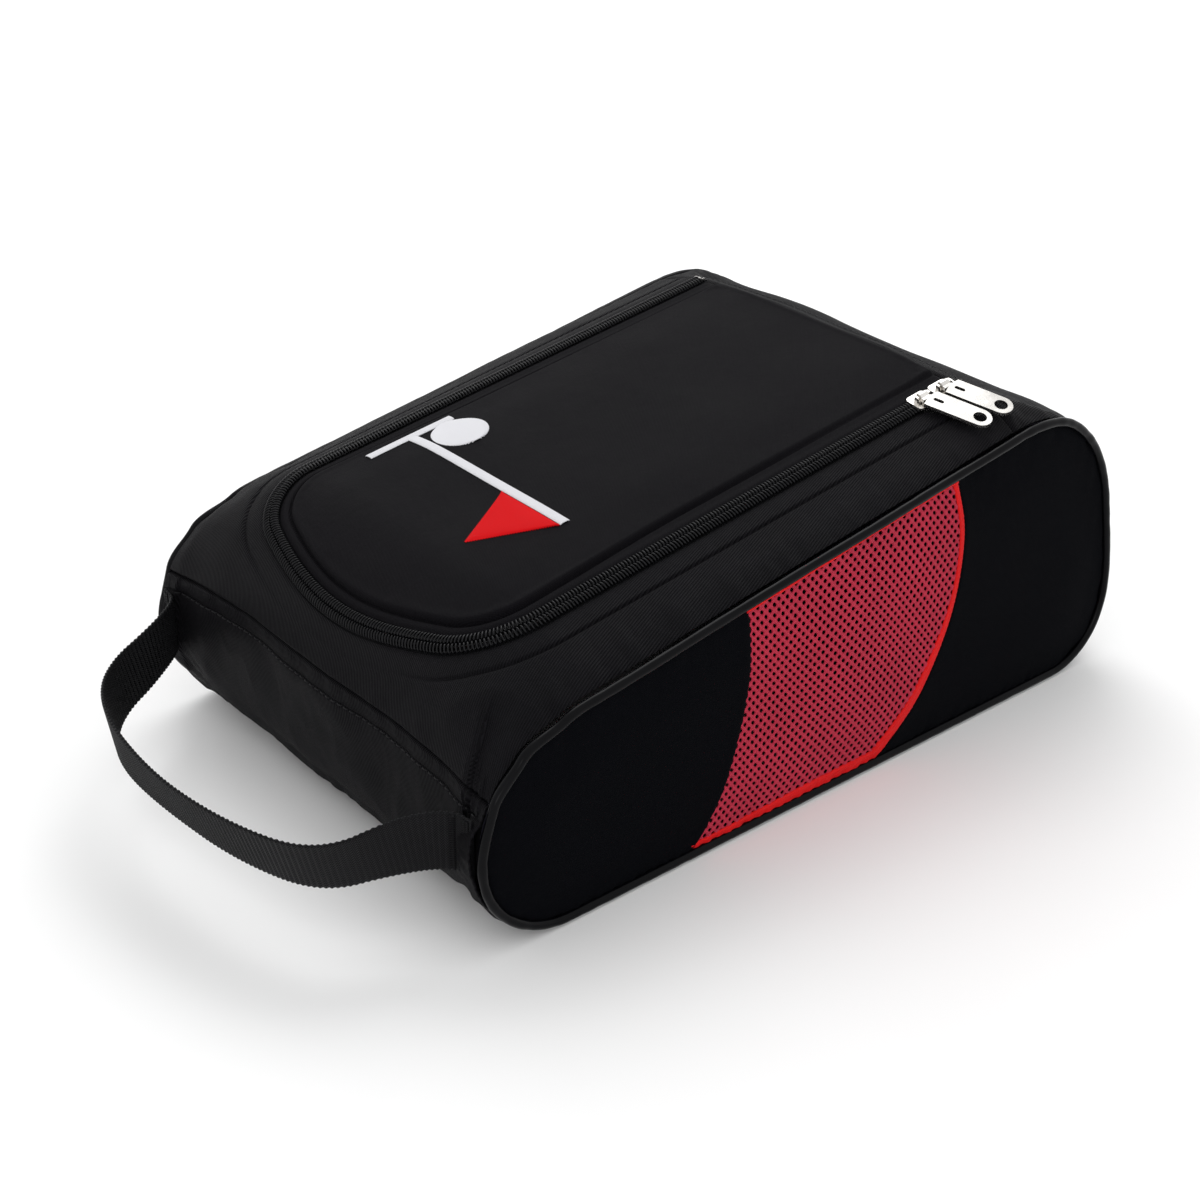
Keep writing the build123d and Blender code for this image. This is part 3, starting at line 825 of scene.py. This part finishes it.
def lid_grid(rows, cols, offset, end_x):
    """Surface coordinates over the lid, inside the zip by offset, from end_x to the toe."""
    run = np.linspace(0, ZIP_RUN, 1600)
    edge = form(*zip_t_y(run, np.full(run.shape, -offset)))[:, :2]
    edge = edge[edge[:, 0] < end_x]
    edge = np.concatenate([[[end_x, edge[0, 1]]], edge, [[end_x, edge[-1, 1]]]])
    gone = along_path(edge)
    near_turn = np.argmin(np.abs(edge[:, 0] - TOE_EDGE_X) + (edge[:, 1] > 0) * LENGTH)
    leg = gone[near_turn]
    w_rows, w_cols = ends_dense(rows, 1.35), ends_dense(cols)

    def at(places):
        return np.stack([np.interp(places, gone, edge[:, k]) for k in (0, 1)], -1)
    toe = at(leg + w_cols * (gone[-1] - 2 * leg))
    heel = at(np.zeros(1)) * (1 - w_cols[:, None]) + at(gone[-1:]) * w_cols[:, None]
    plan = coons(at(w_rows * leg), at(gone[-1] - w_rows * leg), heel, toe, w_rows, w_cols)
    return top_t(plan[..., 0], plan[..., 1]), plan[..., 1]


def lid_cloth():
    rows, cols = 300, 210
    end = ZIP_END - HALF
    t, y, points, normals = surface(*lid_grid(rows, cols, ZIP_FABRIC, end - 0.3))
    gap = zip_distance(points)
    seam = LID_SEAM_TOE + (LID_SEAM_LEG - LID_SEAM_TOE) * smooth(points[..., 0], -130, -40)
    depth = 1.0 - 0.75 * smooth(points[..., 0], -40, 60)
    lift = 0.45 * smooth(gap, ZIP_FABRIC - 0.3, 6.0) - 0.3 * smooth(gap, 6.0, LID_SEAM_TOE)
    lift += seam_dip(gap - seam, 0.7, 1.7) * depth + 1.5 * smooth(gap, seam, seam + 2.6)
    lift += 0.6 * smooth(gap, seam + 4, seam + 25)
    lift += 0.14 * ripple(points, 60, 12) * smooth(gap, 14, 24)
    lift += seam_dip(points[..., 0] - end, 1.2, 1.2)
    _, _, trial, trial_normals = surface(*lid_grid(76, 54, ZIP_FABRIC, end - 0.3))
    held = (zip_distance(trial) < LID_SEAM_LEG + 1.5) | (trial[..., 0] > end - 3)
    lift += spread(simulate_lift(trial, trial_normals, held, *LID_SIM), rows, cols)
    piece = cloth_piece("lid_cloth", raised(points, normals, lift), unrolled(t, y), flip=True)
    dress(piece, "lid_fabric")
    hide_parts("lid_panel", "lid_heel_strip")
    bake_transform(piece)


def lid_padding():
    """Foam sheet under the lid cloth, with the lining sewn below it."""
    end, inset, rows, cols = FOLD_X - 6, 9.0, 90, 70
    t, y, points, normals = surface(*lid_grid(rows, cols, inset, end))
    gap = np.minimum(zip_distance(points) - inset, end - points[..., 0])
    swell = 1.3 * np.sqrt(np.clip(gap / 5, 0, 1))
    both = np.concatenate([raised(points, normals, swell - 3.6), raised(points, normals, -3.9 - swell)])
    faces = np.concatenate([grid_faces(rows, cols)[:, ::-1],
                            grid_faces(rows, cols, base=rows * cols), rim_faces(rows, cols)])
    uv = unrolled(t, y)
    piece = make_object("lid_padding", both, faces, np.stack([uv, uv]))
    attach(dress(piece, "foam"), "lid")
    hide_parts("lid_foam")
    quilt = 0.5 * ripple(points, 35, 31) + 0.9 * smooth(gap, 0, 9)
    under = cloth_piece("lid_lining_cloth", raised(points, normals, -5.9 - 0.5 * quilt), uv, 0.5, flip=True)
    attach(dress(under, "lining"), "lid")
    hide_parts("lid_lining")


def rim_faces(rows, cols):
    """Quads that join the borders of two stacked grids of the same size."""
    index = np.arange(rows * cols).reshape(rows, cols)
    a = np.concatenate([index[0], index[1:, -1], index[-1, -2::-1], index[-2:0:-1, 0]])
    b = np.roll(a, -1)
    return np.stack([a, b, b + rows * cols, a + rows * cols], -1)


# -------------------------------- lining, binding and board

def body_lining():
    """Lining of the ends and the base in one piece, and a second piece under the surround."""
    t, y, points, normals = surface(np.linspace(TOE_SEAM_T, TURN_T + HEEL_SEAM_T, 220)[:, None],
                                    np.linspace(-1, 1, 90)[None, :] * (SHELL_Y - 0.8))
    lift = -2.0 - 0.25 * np.abs(ripple(points, 45, 21)) * crown(y)
    lift -= 3.0 * smooth(points[..., 2], 8, 28) * smooth(crown(y), 0, 0.3)
    lift -= brow_dip(arc(HEEL_SEAM_T) - arc(np.mod(t, TURN_T)), y)
    piece = cloth_piece("body_lining_cloth", raised(points, normals, lift), unrolled(t, y), 0.4, flip=True)
    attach(dress(piece, "lining"), "bag")
    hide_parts("body_lining")
    t, y = surround_grid(300, 26, 12.0)
    y = y * (1 - 0.8 / SHELL_Y)
    piece = cloth_piece("surround_lining_cloth", skin(t, y, -2.3), unrolled(t, y), 0.4)
    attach(dress(piece, "lining"), "bag")
    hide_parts("body_lining")


def seam_bindings():
    """Folded tape sewn over the raw seam allowance, round the inside of each side panel."""
    t = np.linspace(0, TURN_T, 420, endpoint=False)
    side = np.tile([0.0, 1.0, 0.0], (len(t), 1))
    for name, sign in SIDES:
        middle = np.full(t.shape, sign * (SHELL_Y - 2.6))
        centre = skin(t, middle, -3.2)
        centre = raised(centre, outward(t, middle), 0.08 * ripple(centre, 14, 40 + sign))
        up = unit(np.cross(side, unit(np.gradient(centre, axis=0))))
        piece = sweep(name + "_binding_tape", centre, side, up, round_profile(3.0, 16) * [1, 0.17], wrap=True)
        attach(dress(piece, "zip_tape"), "bag")
        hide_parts(name + "_seam_binding")


# -------------------------------- side panels

def edge_curve(inset):
    """The side outline moved in by inset, in the side plane."""
    t = np.linspace(0, TURN_T, 1400, endpoint=False)
    points = form(t, np.full(t.shape, SHELL_Y))[:, [0, 2]]
    tangent = unit(np.roll(points, -1, 0) - np.roll(points, 1, 0))
    return points + np.stack([-tangent[:, 1], tangent[:, 0]], -1) * inset


def edge_heights(inset):
    """Functions that give a side panel's lowest and highest point over x, and its span in x."""
    curve = edge_curve(inset)
    toe, heel = np.argmin(curve[:, 0]), np.argmax(curve[:, 0])
    top = curve[heel:toe + 1][::-1]
    bottom = np.concatenate([curve[toe:], curve[:heel + 1]])
    return (partial(np.interp, xp=bottom[:, 0], fp=bottom[:, 1]),
            partial(np.interp, xp=top[:, 0], fp=top[:, 1]), (curve[toe, 0], curve[heel, 0]))


def window_arc(foot, head, bow):
    """X of a window edge over height: an arc from a foot to a head that bows to the heel."""
    a = np.array([foot - HALF, -10.0])
    c = np.array([head - HALF, 170.0])
    b = np.array([(a[0] + c[0]) / 2 + bow, 80.0])
    m = 2 * np.array([b - a, c - a])
    centre = np.linalg.solve(m, np.array([b @ b - a @ a, c @ c - a @ a]))
    radius = np.linalg.norm(b - centre)

    def edge(z):
        return centre[0] + np.sqrt(radius ** 2 - (z - centre[1]) ** 2)
    return edge


TOE_ARC = window_arc(92.0, 97.0, 32.0)
HEEL_ARC = window_arc(181.0, 201.0, 54.0)
PANEL_INSET = 3.0
EDGE_LINE = edge_curve(PANEL_INSET)
LOW_EDGE, HIGH_EDGE, SPAN = edge_heights(PANEL_INSET)


def edge_gap(x, z):
    return nearest(np.stack([x, z], -1), EDGE_LINE[::2])


def side_bulge(x, z, sign):
    """How far a side panel stands out of its plane: tucked in at the piping, full inside."""
    gap = edge_gap(x, z)
    where = np.stack([x, np.full(x.shape, 50.0 * sign), z], -1)
    lift = 1.5 * smooth(gap, 0, 28) - 1.3 * np.exp(-gap / 1.6)
    lift += 0.30 * np.exp(-gap / 7) * ripple(where, 10, 50 + sign)
    return lift + 0.28 * ripple(where, 60, 60 + sign) * smooth(gap, 3, 20)


def heights(x, share):
    """Height of a place on the side panel, by its share of the way from the base to the top."""
    return LOW_EDGE(x) + (HIGH_EDGE(x) - LOW_EDGE(x)) * share


def side_region(left, right, rows, cols, dense_left):
    """Grid of x and z between two edge curves and the outline, denser at the panel's outer end."""
    w = np.linspace(0, 1, rows)
    w = w ** 2 if dense_left else 1 - (1 - w) ** 2
    a, v = np.meshgrid(w, ends_dense(cols, 1.4), indexing="ij")
    x = SPAN[0] + a * (SPAN[1] - SPAN[0])
    for _ in range(25):  # settles, since the edges' x depends on the height
        z = heights(x, v)
        x = left(z) * (1 - a) + right(z) * a
    return x, heights(x, v)


def side_point(x, z, sign, lift):
    return np.stack([x, sign * (SIDE_FACE + lift), z], -1)


def panel_toe(z):
    return np.full(z.shape, SPAN[0])


def panel_heel(z):
    return np.full(z.shape, SPAN[1])


def toe_section_edge(z):
    return TOE_ARC(z) + 1.6  # laps over the net


def heel_section_edge(z):
    return HEEL_ARC(z) - 0.6  # tucked under the net's hem


SECTIONS = [  # name, toe edge, heel edge, flat size and area
    ("toe", panel_toe, toe_section_edge, (0.122, 0.093), 0.0104),
    ("heel", heel_section_edge, panel_heel, (0.140, 0.130), 0.0132),
]


def side_cloths():
    for name, sign in SIDES:
        for part, left, right, flat, area in SECTIONS:
            x, z = side_region(left, right, 150, 110, part == "toe")
            border = right(z) - x if part == "toe" else x - left(z)
            lift = side_bulge(x, z, sign) + 0.7 * np.exp(-border / 5) - 0.8 * np.exp(-border / 0.7)
            piece = cloth_piece(f"{name}_{part}_side_cloth", side_point(x, z, sign, lift),
                                np.stack([x, z], -1), flip=sign > 0)
            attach(dress(piece, "side_fabric"), "bag")
            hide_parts(f"{name}_{part}_side")


# -------------------------------- mesh windows

NET_SIDE = 3.1  # from hole to hole
NET_HOLE = 1.24
NET_POINTS = 12
NET_THICK = 0.55
NET_RINGS = ((1.0, 0.0), (0.55, 0.12), (0.0, -0.2))  # share of the way out from the hole, height


def net_warp(x, z):
    """The knit is drawn a little out of square between its seams."""
    return (x + 0.9 * np.sin(z / 21 + 0.4) + 0.5 * np.sin(x / 17),
            z - 0.17 * (x - 20) + 0.8 * np.sin(x / 19) + 0.4 * np.sin((x + z) / 11))


def net_cells():
    """Centres of the net's holes in the side plane, in a square lattice that stands on a corner."""
    half = NET_SIDE / math.sqrt(2)
    i, j = np.meshgrid(np.arange(0, 90), np.arange(-6, 40), indexing="ij")
    x = (-95 + i * half).ravel()
    z = (j * 2 * half + (i % 2) * half - 5).ravel()
    drawn_x, drawn_z = net_warp(x, z)
    height = np.clip(drawn_z, 0, 150)
    inside = (drawn_x > TOE_ARC(height) - 0.5) & (drawn_x < HEEL_ARC(height) - 1.6)
    inside &= (drawn_z > LOW_EDGE(drawn_x) - 0.8) & (drawn_z < HIGH_EDGE(drawn_x) + 0.8)
    return x[inside], z[inside], half


def mesh_windows():
    x, z, half = net_cells()
    turn = np.linspace(0, 2 * np.pi, NET_POINTS, endpoint=False)
    diamond = half / (np.abs(np.cos(turn)) + np.abs(np.sin(turn)))
    share, height = (np.array(column)[:, None] for column in zip(*NET_RINGS))
    radius = NET_HOLE + share * (diamond - NET_HOLE)
    px = x[:, None, None] + radius * np.cos(turn)
    pz = z[:, None, None] + radius * np.sin(turn)
    wx, wz = net_warp(px, pz)
    lift = height + 0.16 * share * np.cos(4 * turn) - NET_THICK
    cell = grid_faces(len(NET_RINGS), NET_POINTS, wrap_cols=True)
    faces = (cell[None] + (np.arange(len(x)) * radius.size)[:, None, None]).reshape(-1, 4)
    for name, sign in SIDES:
        points = side_point(wx, wz, sign, side_bulge(wx, wz, sign) + lift)
        piece = make_object(name + "_net", points, faces[:, ::-1] if sign > 0 else faces,
                            np.stack([px, pz], -1))
        weld(piece, 0.02)
        thicken(piece, NET_THICK)
        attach(dress(piece, "red_mesh"), "bag")
        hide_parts(name + "_mesh_window")
        net_border(name, sign)


def weld(obj, distance):
    modifier = obj.modifiers.new("Weld", "WELD")
    modifier.merge_threshold = distance * MM
    return settle_modifiers(obj)


def side_line(curve, share):
    """A window edge from the base to the top, cut at the panel's outline."""
    z = np.array(share, float) * 100
    for _ in range(20):
        z = heights(curve(z), share)
    return curve(z), z


def net_border(name, sign):
    """The net's folded red hem along its heel, lower and top edges."""
    heel_x, heel_z = side_line(HEEL_ARC, np.linspace(0, 1, 160))
    toe_x, _ = side_line(TOE_ARC, np.array([0.0, 1.0]))
    low_x = np.linspace(toe_x[0], heel_x[0], 120)
    top_x = np.linspace(toe_x[1], heel_x[-1], 120)
    paths = {"heel_hem": (heel_x, heel_z, (-1.0, 0.0), 6.0, 2.8),  # x, z, inwards, first and last width
             "base_hem": (low_x, LOW_EDGE(low_x), (0.0, 1.0), 3.6, 5.6),
             "top_hem": (top_x, HIGH_EDGE(top_x), (0.0, -1.0), 1.5, 1.5)}
    across = np.linspace(-0.35, 1, 9)
    arch = 0.5 * (1 - (2 * across - 1) ** 2).clip(0) - 0.35 * bell(across, 0.45, 0.12)
    for label, (x, z, inwards, first, last) in paths.items():
        width = first + (last - first) * smooth(np.linspace(0, 1, len(x)), 0, 0.7)
        line = np.stack([x, z], -1)
        tangent = unit(np.gradient(line, axis=0))
        inner = np.stack([-tangent[:, 1], tangent[:, 0]], -1)
        inner *= np.sign((inner * np.array(inwards)).sum(-1))[:, None]
        place = line[:, None] + inner[:, None] * (across[None] * width[:, None])[..., None]
        px, pz = place[..., 0], place[..., 1]
        ridge = 0.05 * np.sin(2 * np.pi * along_path(line) / 2.2)[:, None]
        lift = side_bulge(px, pz, sign) + 0.05 + arch + ridge
        piece = cloth_piece(f"{name}_net_{label}", side_point(px, pz, sign, lift), place, 0.6, flip=sign > 0)
        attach(dress(piece, "red_band"), "bag")


# -------------------------------- piping

def pipings():
    t = np.linspace(0, TURN_T, 900, endpoint=False)
    edge = form(t, np.full(t.shape, SHELL_Y))
    tangent = unit(np.roll(edge, -1, 0) - np.roll(edge, 1, 0))
    side = np.tile([0.0, 1.0, 0.0], (len(t), 1))
    normal = np.cross(side, tangent)
    radius = PIPING_R * 0.98 * (1 + 0.03 * ripple(edge, 8, 72))
    count = 20
    turn = np.linspace(0, 2 * np.pi, count, endpoint=False)
    faces = grid_faces(len(t), count, wrap_rows=True, wrap_cols=True)[:, ::-1]
    for name, sign in SIDES:
        centre = edge - normal * PIPING_R
        centre[:, 1] = sign * PIPING_Y + 0.22 * ripple(edge, 55, 70 + sign) * smooth(edge[:, 2], 1, 20)
        uv = np.stack(np.broadcast_arrays(turn[None] * PIPING_R, along_path(centre)[:, None]), -1)
        piece = make_object(name + "_piping_cord", rings(centre, side, normal, radius, count), faces, uv)
        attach(dress(piece, "piping_vinyl"), "bag")
        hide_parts(name + "_piping")


# -------------------------------- zip

COIL_PITCH = 1.5
COIL_WIRE = 0.4


def coil(name, sign):
    """One row of the nylon coil: a long helix of monofilament sewn along its tape."""
    turns = int(ZIP_RUN / COIL_PITCH)
    phase = np.linspace(0, 2 * np.pi * turns, turns * 14)
    run = phase / (2 * np.pi) * COIL_PITCH + (0 if sign < 0 else COIL_PITCH / 2)
    run = np.clip(run, 0, ZIP_RUN)
    offset = sign * (1.9 + 1.6 * np.cos(phase))
    lift = 1.0 + 0.8 * np.sin(phase) - 0.3 * np.cos(phase)
    centre = raised(zip_value("points", run), zip_value("side", run), offset)
    centre = raised(centre, zip_value("normal", run), lift)
    tangent = unit(np.gradient(centre, axis=0))
    side = unit(np.cross(tangent, zip_value("tangent", run)))
    piece = sweep(name, centre, side, np.cross(side, tangent), round_profile(COIL_WIRE, 6))
    return dress(piece, "zip_coil")


def tape(name, sign):
    """Woven tape of one zip half, with a raised selvedge beside the coil."""
    run, offset = np.meshgrid(np.linspace(0.5, ZIP_RUN - 0.5, 500), np.linspace(0.5, 10.8, 24),
                              indexing="ij")
    t, y = zip_t_y(run, sign * offset)
    lift = -0.45 + 0.3 * bell(offset, 4.0, 0.4) - 1.2 * smooth(offset, 4.1, 5.6)
    piece = cloth_piece(name, skin(t, y, lift), np.stack([offset, run], -1), 0.5, flip=sign < 0)
    return dress(piece, "zip_tape")


def zip_halves():
    fixed = [coil("zip_coil_body_row", 1), tape("zip_tape_body_half", 1)]
    for piece, node in zip(fixed, ("zipper_coil_body", "zipper_tape_body")):
        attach(piece, "bag")
        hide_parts(node)
    moving = [coil("zip_coil_lid_row", -1), tape("zip_tape_lid_half", -1)]
    for piece, kind in zip(moving, ("coil", "tape")):
        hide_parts(f"zipper_{kind}_lid", f"zipper_{kind}_tail")
        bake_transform(piece)


# -------------------------------- handle

WEBBING = (12.5, 0.62)  # half its width and half its thickness
WEBBING_EDGE = 0.75  # length of its rounded edges
WEBBING_RIB = 2.2  # pitch of the ribs that run across it
WEBBING_STATIONS = [(1.4, -107.5), (0.8, -98), (-15, -88), (-44, -76), (-57, -40), (-62, 4),
                    (-59, 46), (-43, 75), (-15, 86), (0.8, 98), (1.4, 107.5)]
BAR_TACKS = (99.0, 104.0, 105.6)  # distances from the middle


def webbing_path():
    """Plan of the webbing's middle, rounded at its corners."""
    points = np.array([(x - HALF, y) for x, y in WEBBING_STATIONS])
    for _ in range(6):
        a = points[:-1] * 0.75 + points[1:] * 0.25
        b = points[:-1] * 0.25 + points[1:] * 0.75
        points = np.concatenate([points[:1], np.stack([a, b], 1).reshape(-1, 2), points[-1:]])
    return resample(points, 1200)


def webbing():
    plan = webbing_path()
    away = smooth(-178 - plan[:, 0], 0, 45)
    sag = (0.5 * np.sin(plan[:, 1] / 30) - 6.4) * away
    centre = np.concatenate([plan, (HANDLE_Z + sag)[:, None]], 1)
    tangent = unit(np.gradient(centre, axis=0))
    outside = unit(np.cross(tangent, [0, 0, 1.0]))
    lean = np.radians(8 + 11 * smooth(plan[:, 1], 55, -15)) * away
    up = np.array([0, 0, 1.0]) * np.cos(lean)[:, None] - outside * np.sin(lean)[:, None]
    up = unit(up - (up * tangent).sum(-1, keepdims=True) * tangent)
    half, thick = WEBBING
    v = np.linspace(WEBBING_EDGE - half, half - WEBBING_EDGE, 22)
    bend = np.linspace(-np.pi / 2, np.pi / 2, 7)[1:-1]
    face = np.stack([v, np.full(v.shape, thick)], -1)
    edge = np.stack([half - WEBBING_EDGE + WEBBING_EDGE * np.cos(bend), -thick * np.sin(bend)], -1)
    profile = np.concatenate([face, edge, face[::-1] * [1, -1], edge[::-1] * [-1, 1]])
    phase = 2 * np.pi * along_path(centre)[:, None] / WEBBING_RIB
    across = up * (1 + 0.012 * np.sin(phase + 0.6))
    outwards = np.cross(up, tangent) * (1 + 0.32 * np.sin(phase))
    piece = sweep("webbing_handle", centre, across, outwards, profile)
    dress(piece, "webbing")
    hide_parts("handle_webbing", "near_handle_end", "far_handle_end")
    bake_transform(piece)


def bar_tacks():
    """Dense zigzag stitching that holds each end of the webbing to the toe panel."""
    end = webbing_path()[:150]
    z = np.linspace(HANDLE_Z - 11.5, HANDLE_Z + 11.5, 60)
    zigzag = 0.7 * np.where(np.arange(60) % 2, 1, -1)
    tubes = []
    for sign in (-1, 1):
        for place in BAR_TACKS:
            y = place + zigzag
            path = np.stack([np.interp(-y, end[:, 1], end[:, 0]) - 0.9, sign * y, z], -1)
            side, normal = path_frames(path, np.array([-1.0, 0, 0]))
            tubes.append(rings(path, side, normal, 0.28))
    piece = strands("handle_bar_tacks", np.stack(tubes))
    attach(dress(piece, "thread_black"), "bag")


# -------------------------------- emblem

THREAD_PITCH = 0.5
EMBLEM_X = -79.0  # middle of the staff
STAFF = (-42.0, 60.0)  # its near end and its foot, in y
STAFF_HALF = 2.25
GREEN_HALF = 21
BALL = (15.2, -14.0, 12.0)  # beside the staff's foot: offsets in x and y, radius
PENNANT = (32.0, 36.0)  # length and depth
PROBE = 12  # height over the form from which the lid cloth is looked for


def satin(name, lines, material):
    """Embroidery: threads laid side by side, each between two plan points."""
    u = np.linspace(0, 1, 9)
    a, b = np.array(lines, float).swapaxes(0, 1)
    plan = a[:, None] * (1 - u)[None, :, None] + b[:, None] * u[None, :, None]
    _, _, at, up = surface(top_t(plan[..., 0], plan[..., 1]), plan[..., 1])
    arch = 0.55 * (1 - np.abs(2 * u - 1) ** 5)
    at = raised(at, up, cloth_height(at, up) + arch)
    side = unit(np.cross(np.gradient(at, axis=1), up))
    piece = strands(name, rings(at, side, up, THREAD_PITCH * 0.62))
    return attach(dress(piece, material), "lid")


def cloth_height(points, up):
    """How far the finished lid cloth stands off the bag's form, along up."""
    cloth = bpy.data.objects["lid_cloth"]
    tree = BVHTree.FromObject(cloth, bpy.context.evaluated_depsgraph_get())
    start = (points + up * PROBE) * MM
    found = [tree.ray_cast(Vector(a), Vector(-b))[3] for a, b in
             zip(start.reshape(-1, 3), up.reshape(-1, 3))]
    gap = np.array([PROBE * MM if g is None else g for g in found]) / MM
    return (PROBE - gap).reshape(points.shape[:-1])


def rows_between(low, high):
    return np.arange(low + THREAD_PITCH / 2, high, THREAD_PITCH)


def emblem():
    """A golf flag on its staff, with a ball beside the foot of the staff on the green."""
    near, far = STAFF
    left, right = EMBLEM_X - STAFF_HALF, EMBLEM_X + STAFF_HALF
    staff = [((left, y), (right, y)) for y in rows_between(near, far - 2.2)]
    green = [((x, far - STAFF_HALF), (x, far + STAFF_HALF))
             for x in rows_between(EMBLEM_X - GREEN_HALF, EMBLEM_X + GREEN_HALF)]
    ball_x, ball_y, ball_r = EMBLEM_X + BALL[0], far + BALL[1], BALL[2]
    ball = []
    for y in rows_between(ball_y - ball_r, ball_y + ball_r):
        reach = math.sqrt(ball_r ** 2 - (y - ball_y) ** 2)
        ball.append(((ball_x - reach, y), (ball_x + reach, y)))
    white = satin("emblem_white_thread", staff + green + ball, "thread_white")
    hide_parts("emblem_white")
    hoist, (length, depth) = left - 0.3, PENNANT
    pennant = []
    for y in rows_between(near, near + depth):
        reach = length * (1 - abs(2 * (y - near) / depth - 1))
        pennant.append(((hoist, y), (hoist - max(reach, 0.8), y)))
    red = satin("emblem_red_thread", pennant, "thread_red")
    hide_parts("emblem_red")


# -------------------------------- seam stitching

def seam_threads():
    y = np.linspace(-SHELL_Y + 4, SHELL_Y - 4, 500)
    for name, place, relief in (("toe", arc(TOE_SEAM_T) + 8, toe_relief),
                                ("heel", arc(HEEL_SEAM_T) - 6, heel_relief)):
        t, _, points, normals = surface(np.interp(place, ARC, ARC_T), y)
        piece = stitches(name + "_seam_thread", raised(points, normals, relief(points, t, y)), normals)
        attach(dress(piece, "thread_black"), "bag")


# -------------------------------- metal parts that stay CAD

def metal_parts():
    nickel = ("slider_front", "slider_rear", "pull_front", "pull_rear", "zipper_end_stops")
    for node in (*nickel, "base_board"):
        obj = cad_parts[node]
        obj.data.materials.clear()
        obj.data.materials.append(MATERIALS["nickel" if node in nickel else "board"])
        if node in nickel:
            edge = obj.modifiers.new("Edges", "BEVEL")
            edge.width = 0.3 * MM
            edge.segments = 3
            edge.limit_method = "ANGLE"
            edge.angle_limit = math.radians(40)
            edge.harden_normals = False


# -------------------------------- studio

CAMERA_PLACE = (-0.51545, -0.5833, 0.4770)
AZIMUTH, PITCH, ROLL = (math.radians(angle) for angle in (-39.98, 29.32, 0.53))
LENS = 61.56
FLOOR_REACH = 6.0
FLOOR_Z = -0.0004


def place_in_scene(name, data):
    obj = bpy.data.objects.new(name, data)
    bpy.context.scene.collection.objects.link(obj)
    return obj


def camera():
    data = bpy.data.cameras.new("camera")
    data.lens = LENS
    data.sensor_width = 36.0
    data.clip_start = 0.02
    right = Vector((math.cos(AZIMUTH), math.sin(AZIMUTH), 0))
    level = Vector((-math.sin(AZIMUTH), math.cos(AZIMUTH), 0))
    ahead = level * math.cos(PITCH) - Vector((0, 0, math.sin(PITCH)))
    up = right.cross(ahead)
    turned = right * math.cos(ROLL) + up * math.sin(ROLL)
    up = up * math.cos(ROLL) - right * math.sin(ROLL)
    obj = place_in_scene("camera", data)
    axes = Matrix((turned, up, -ahead)).transposed().to_4x4()
    obj.matrix_world = Matrix.Translation(CAMERA_PLACE) @ axes
    bpy.context.scene.camera = obj


def area_light(name, place, target, size, power):
    data = bpy.data.lights.new(name, "AREA")
    data.size = size
    data.energy = power
    obj = place_in_scene(name, data)
    obj.location = place
    obj.rotation_euler = (Vector(target) - Vector(place)).to_track_quat("-Z", "Y").to_euler()


def floor():
    material, tree, shader = new_material("floor")
    where = tree.nodes.new("ShaderNodeTexCoord").outputs["Object"]
    shade = ramp(tree, noise(tree, where, 6.0), [(0.3, (0.88, 0.88, 0.88)), (0.7, (0.9, 0.9, 0.9))])
    tree.links.new(shade, shader.inputs["Base Color"])
    shader.inputs["Roughness"].default_value = 0.9
    mesh = bpy.data.meshes.new("floor")
    r = FLOOR_REACH
    mesh.from_pydata([(-r, -r, 0), (r, -r, 0), (r, r, 0), (-r, r, 0)], [], [(0, 1, 2, 3)])
    obj = place_in_scene("floor", mesh)
    obj.location.z = FLOOR_Z
    mesh.materials.append(material)


def studio():
    scene = bpy.context.scene
    scene.view_settings.view_transform = "Standard"
    scene.world = bpy.data.worlds.new("studio")
    scene.world.use_nodes = True
    set_inputs(scene.world.node_tree.nodes["Background"], Color=(1, 1, 1, 1), Strength=1.0)
    area_light("key_light", (0.45, 0.65, 1.2), (0, 0, 0.05), 1.0, 8)
    area_light("side_light", (-1.2, -1.1, 0.5), (0, 0, 0.05), 0.5, 2)
    floor()


camera()
studio()
metal_parts()
toe_panel()
base_cloth()
heel_panel()
top_surround()
lid_cloth()
lid_padding()
body_lining()
seam_bindings()
side_cloths()
mesh_windows()
pipings()
zip_halves()
webbing()
bar_tacks()
emblem()
seam_threads()
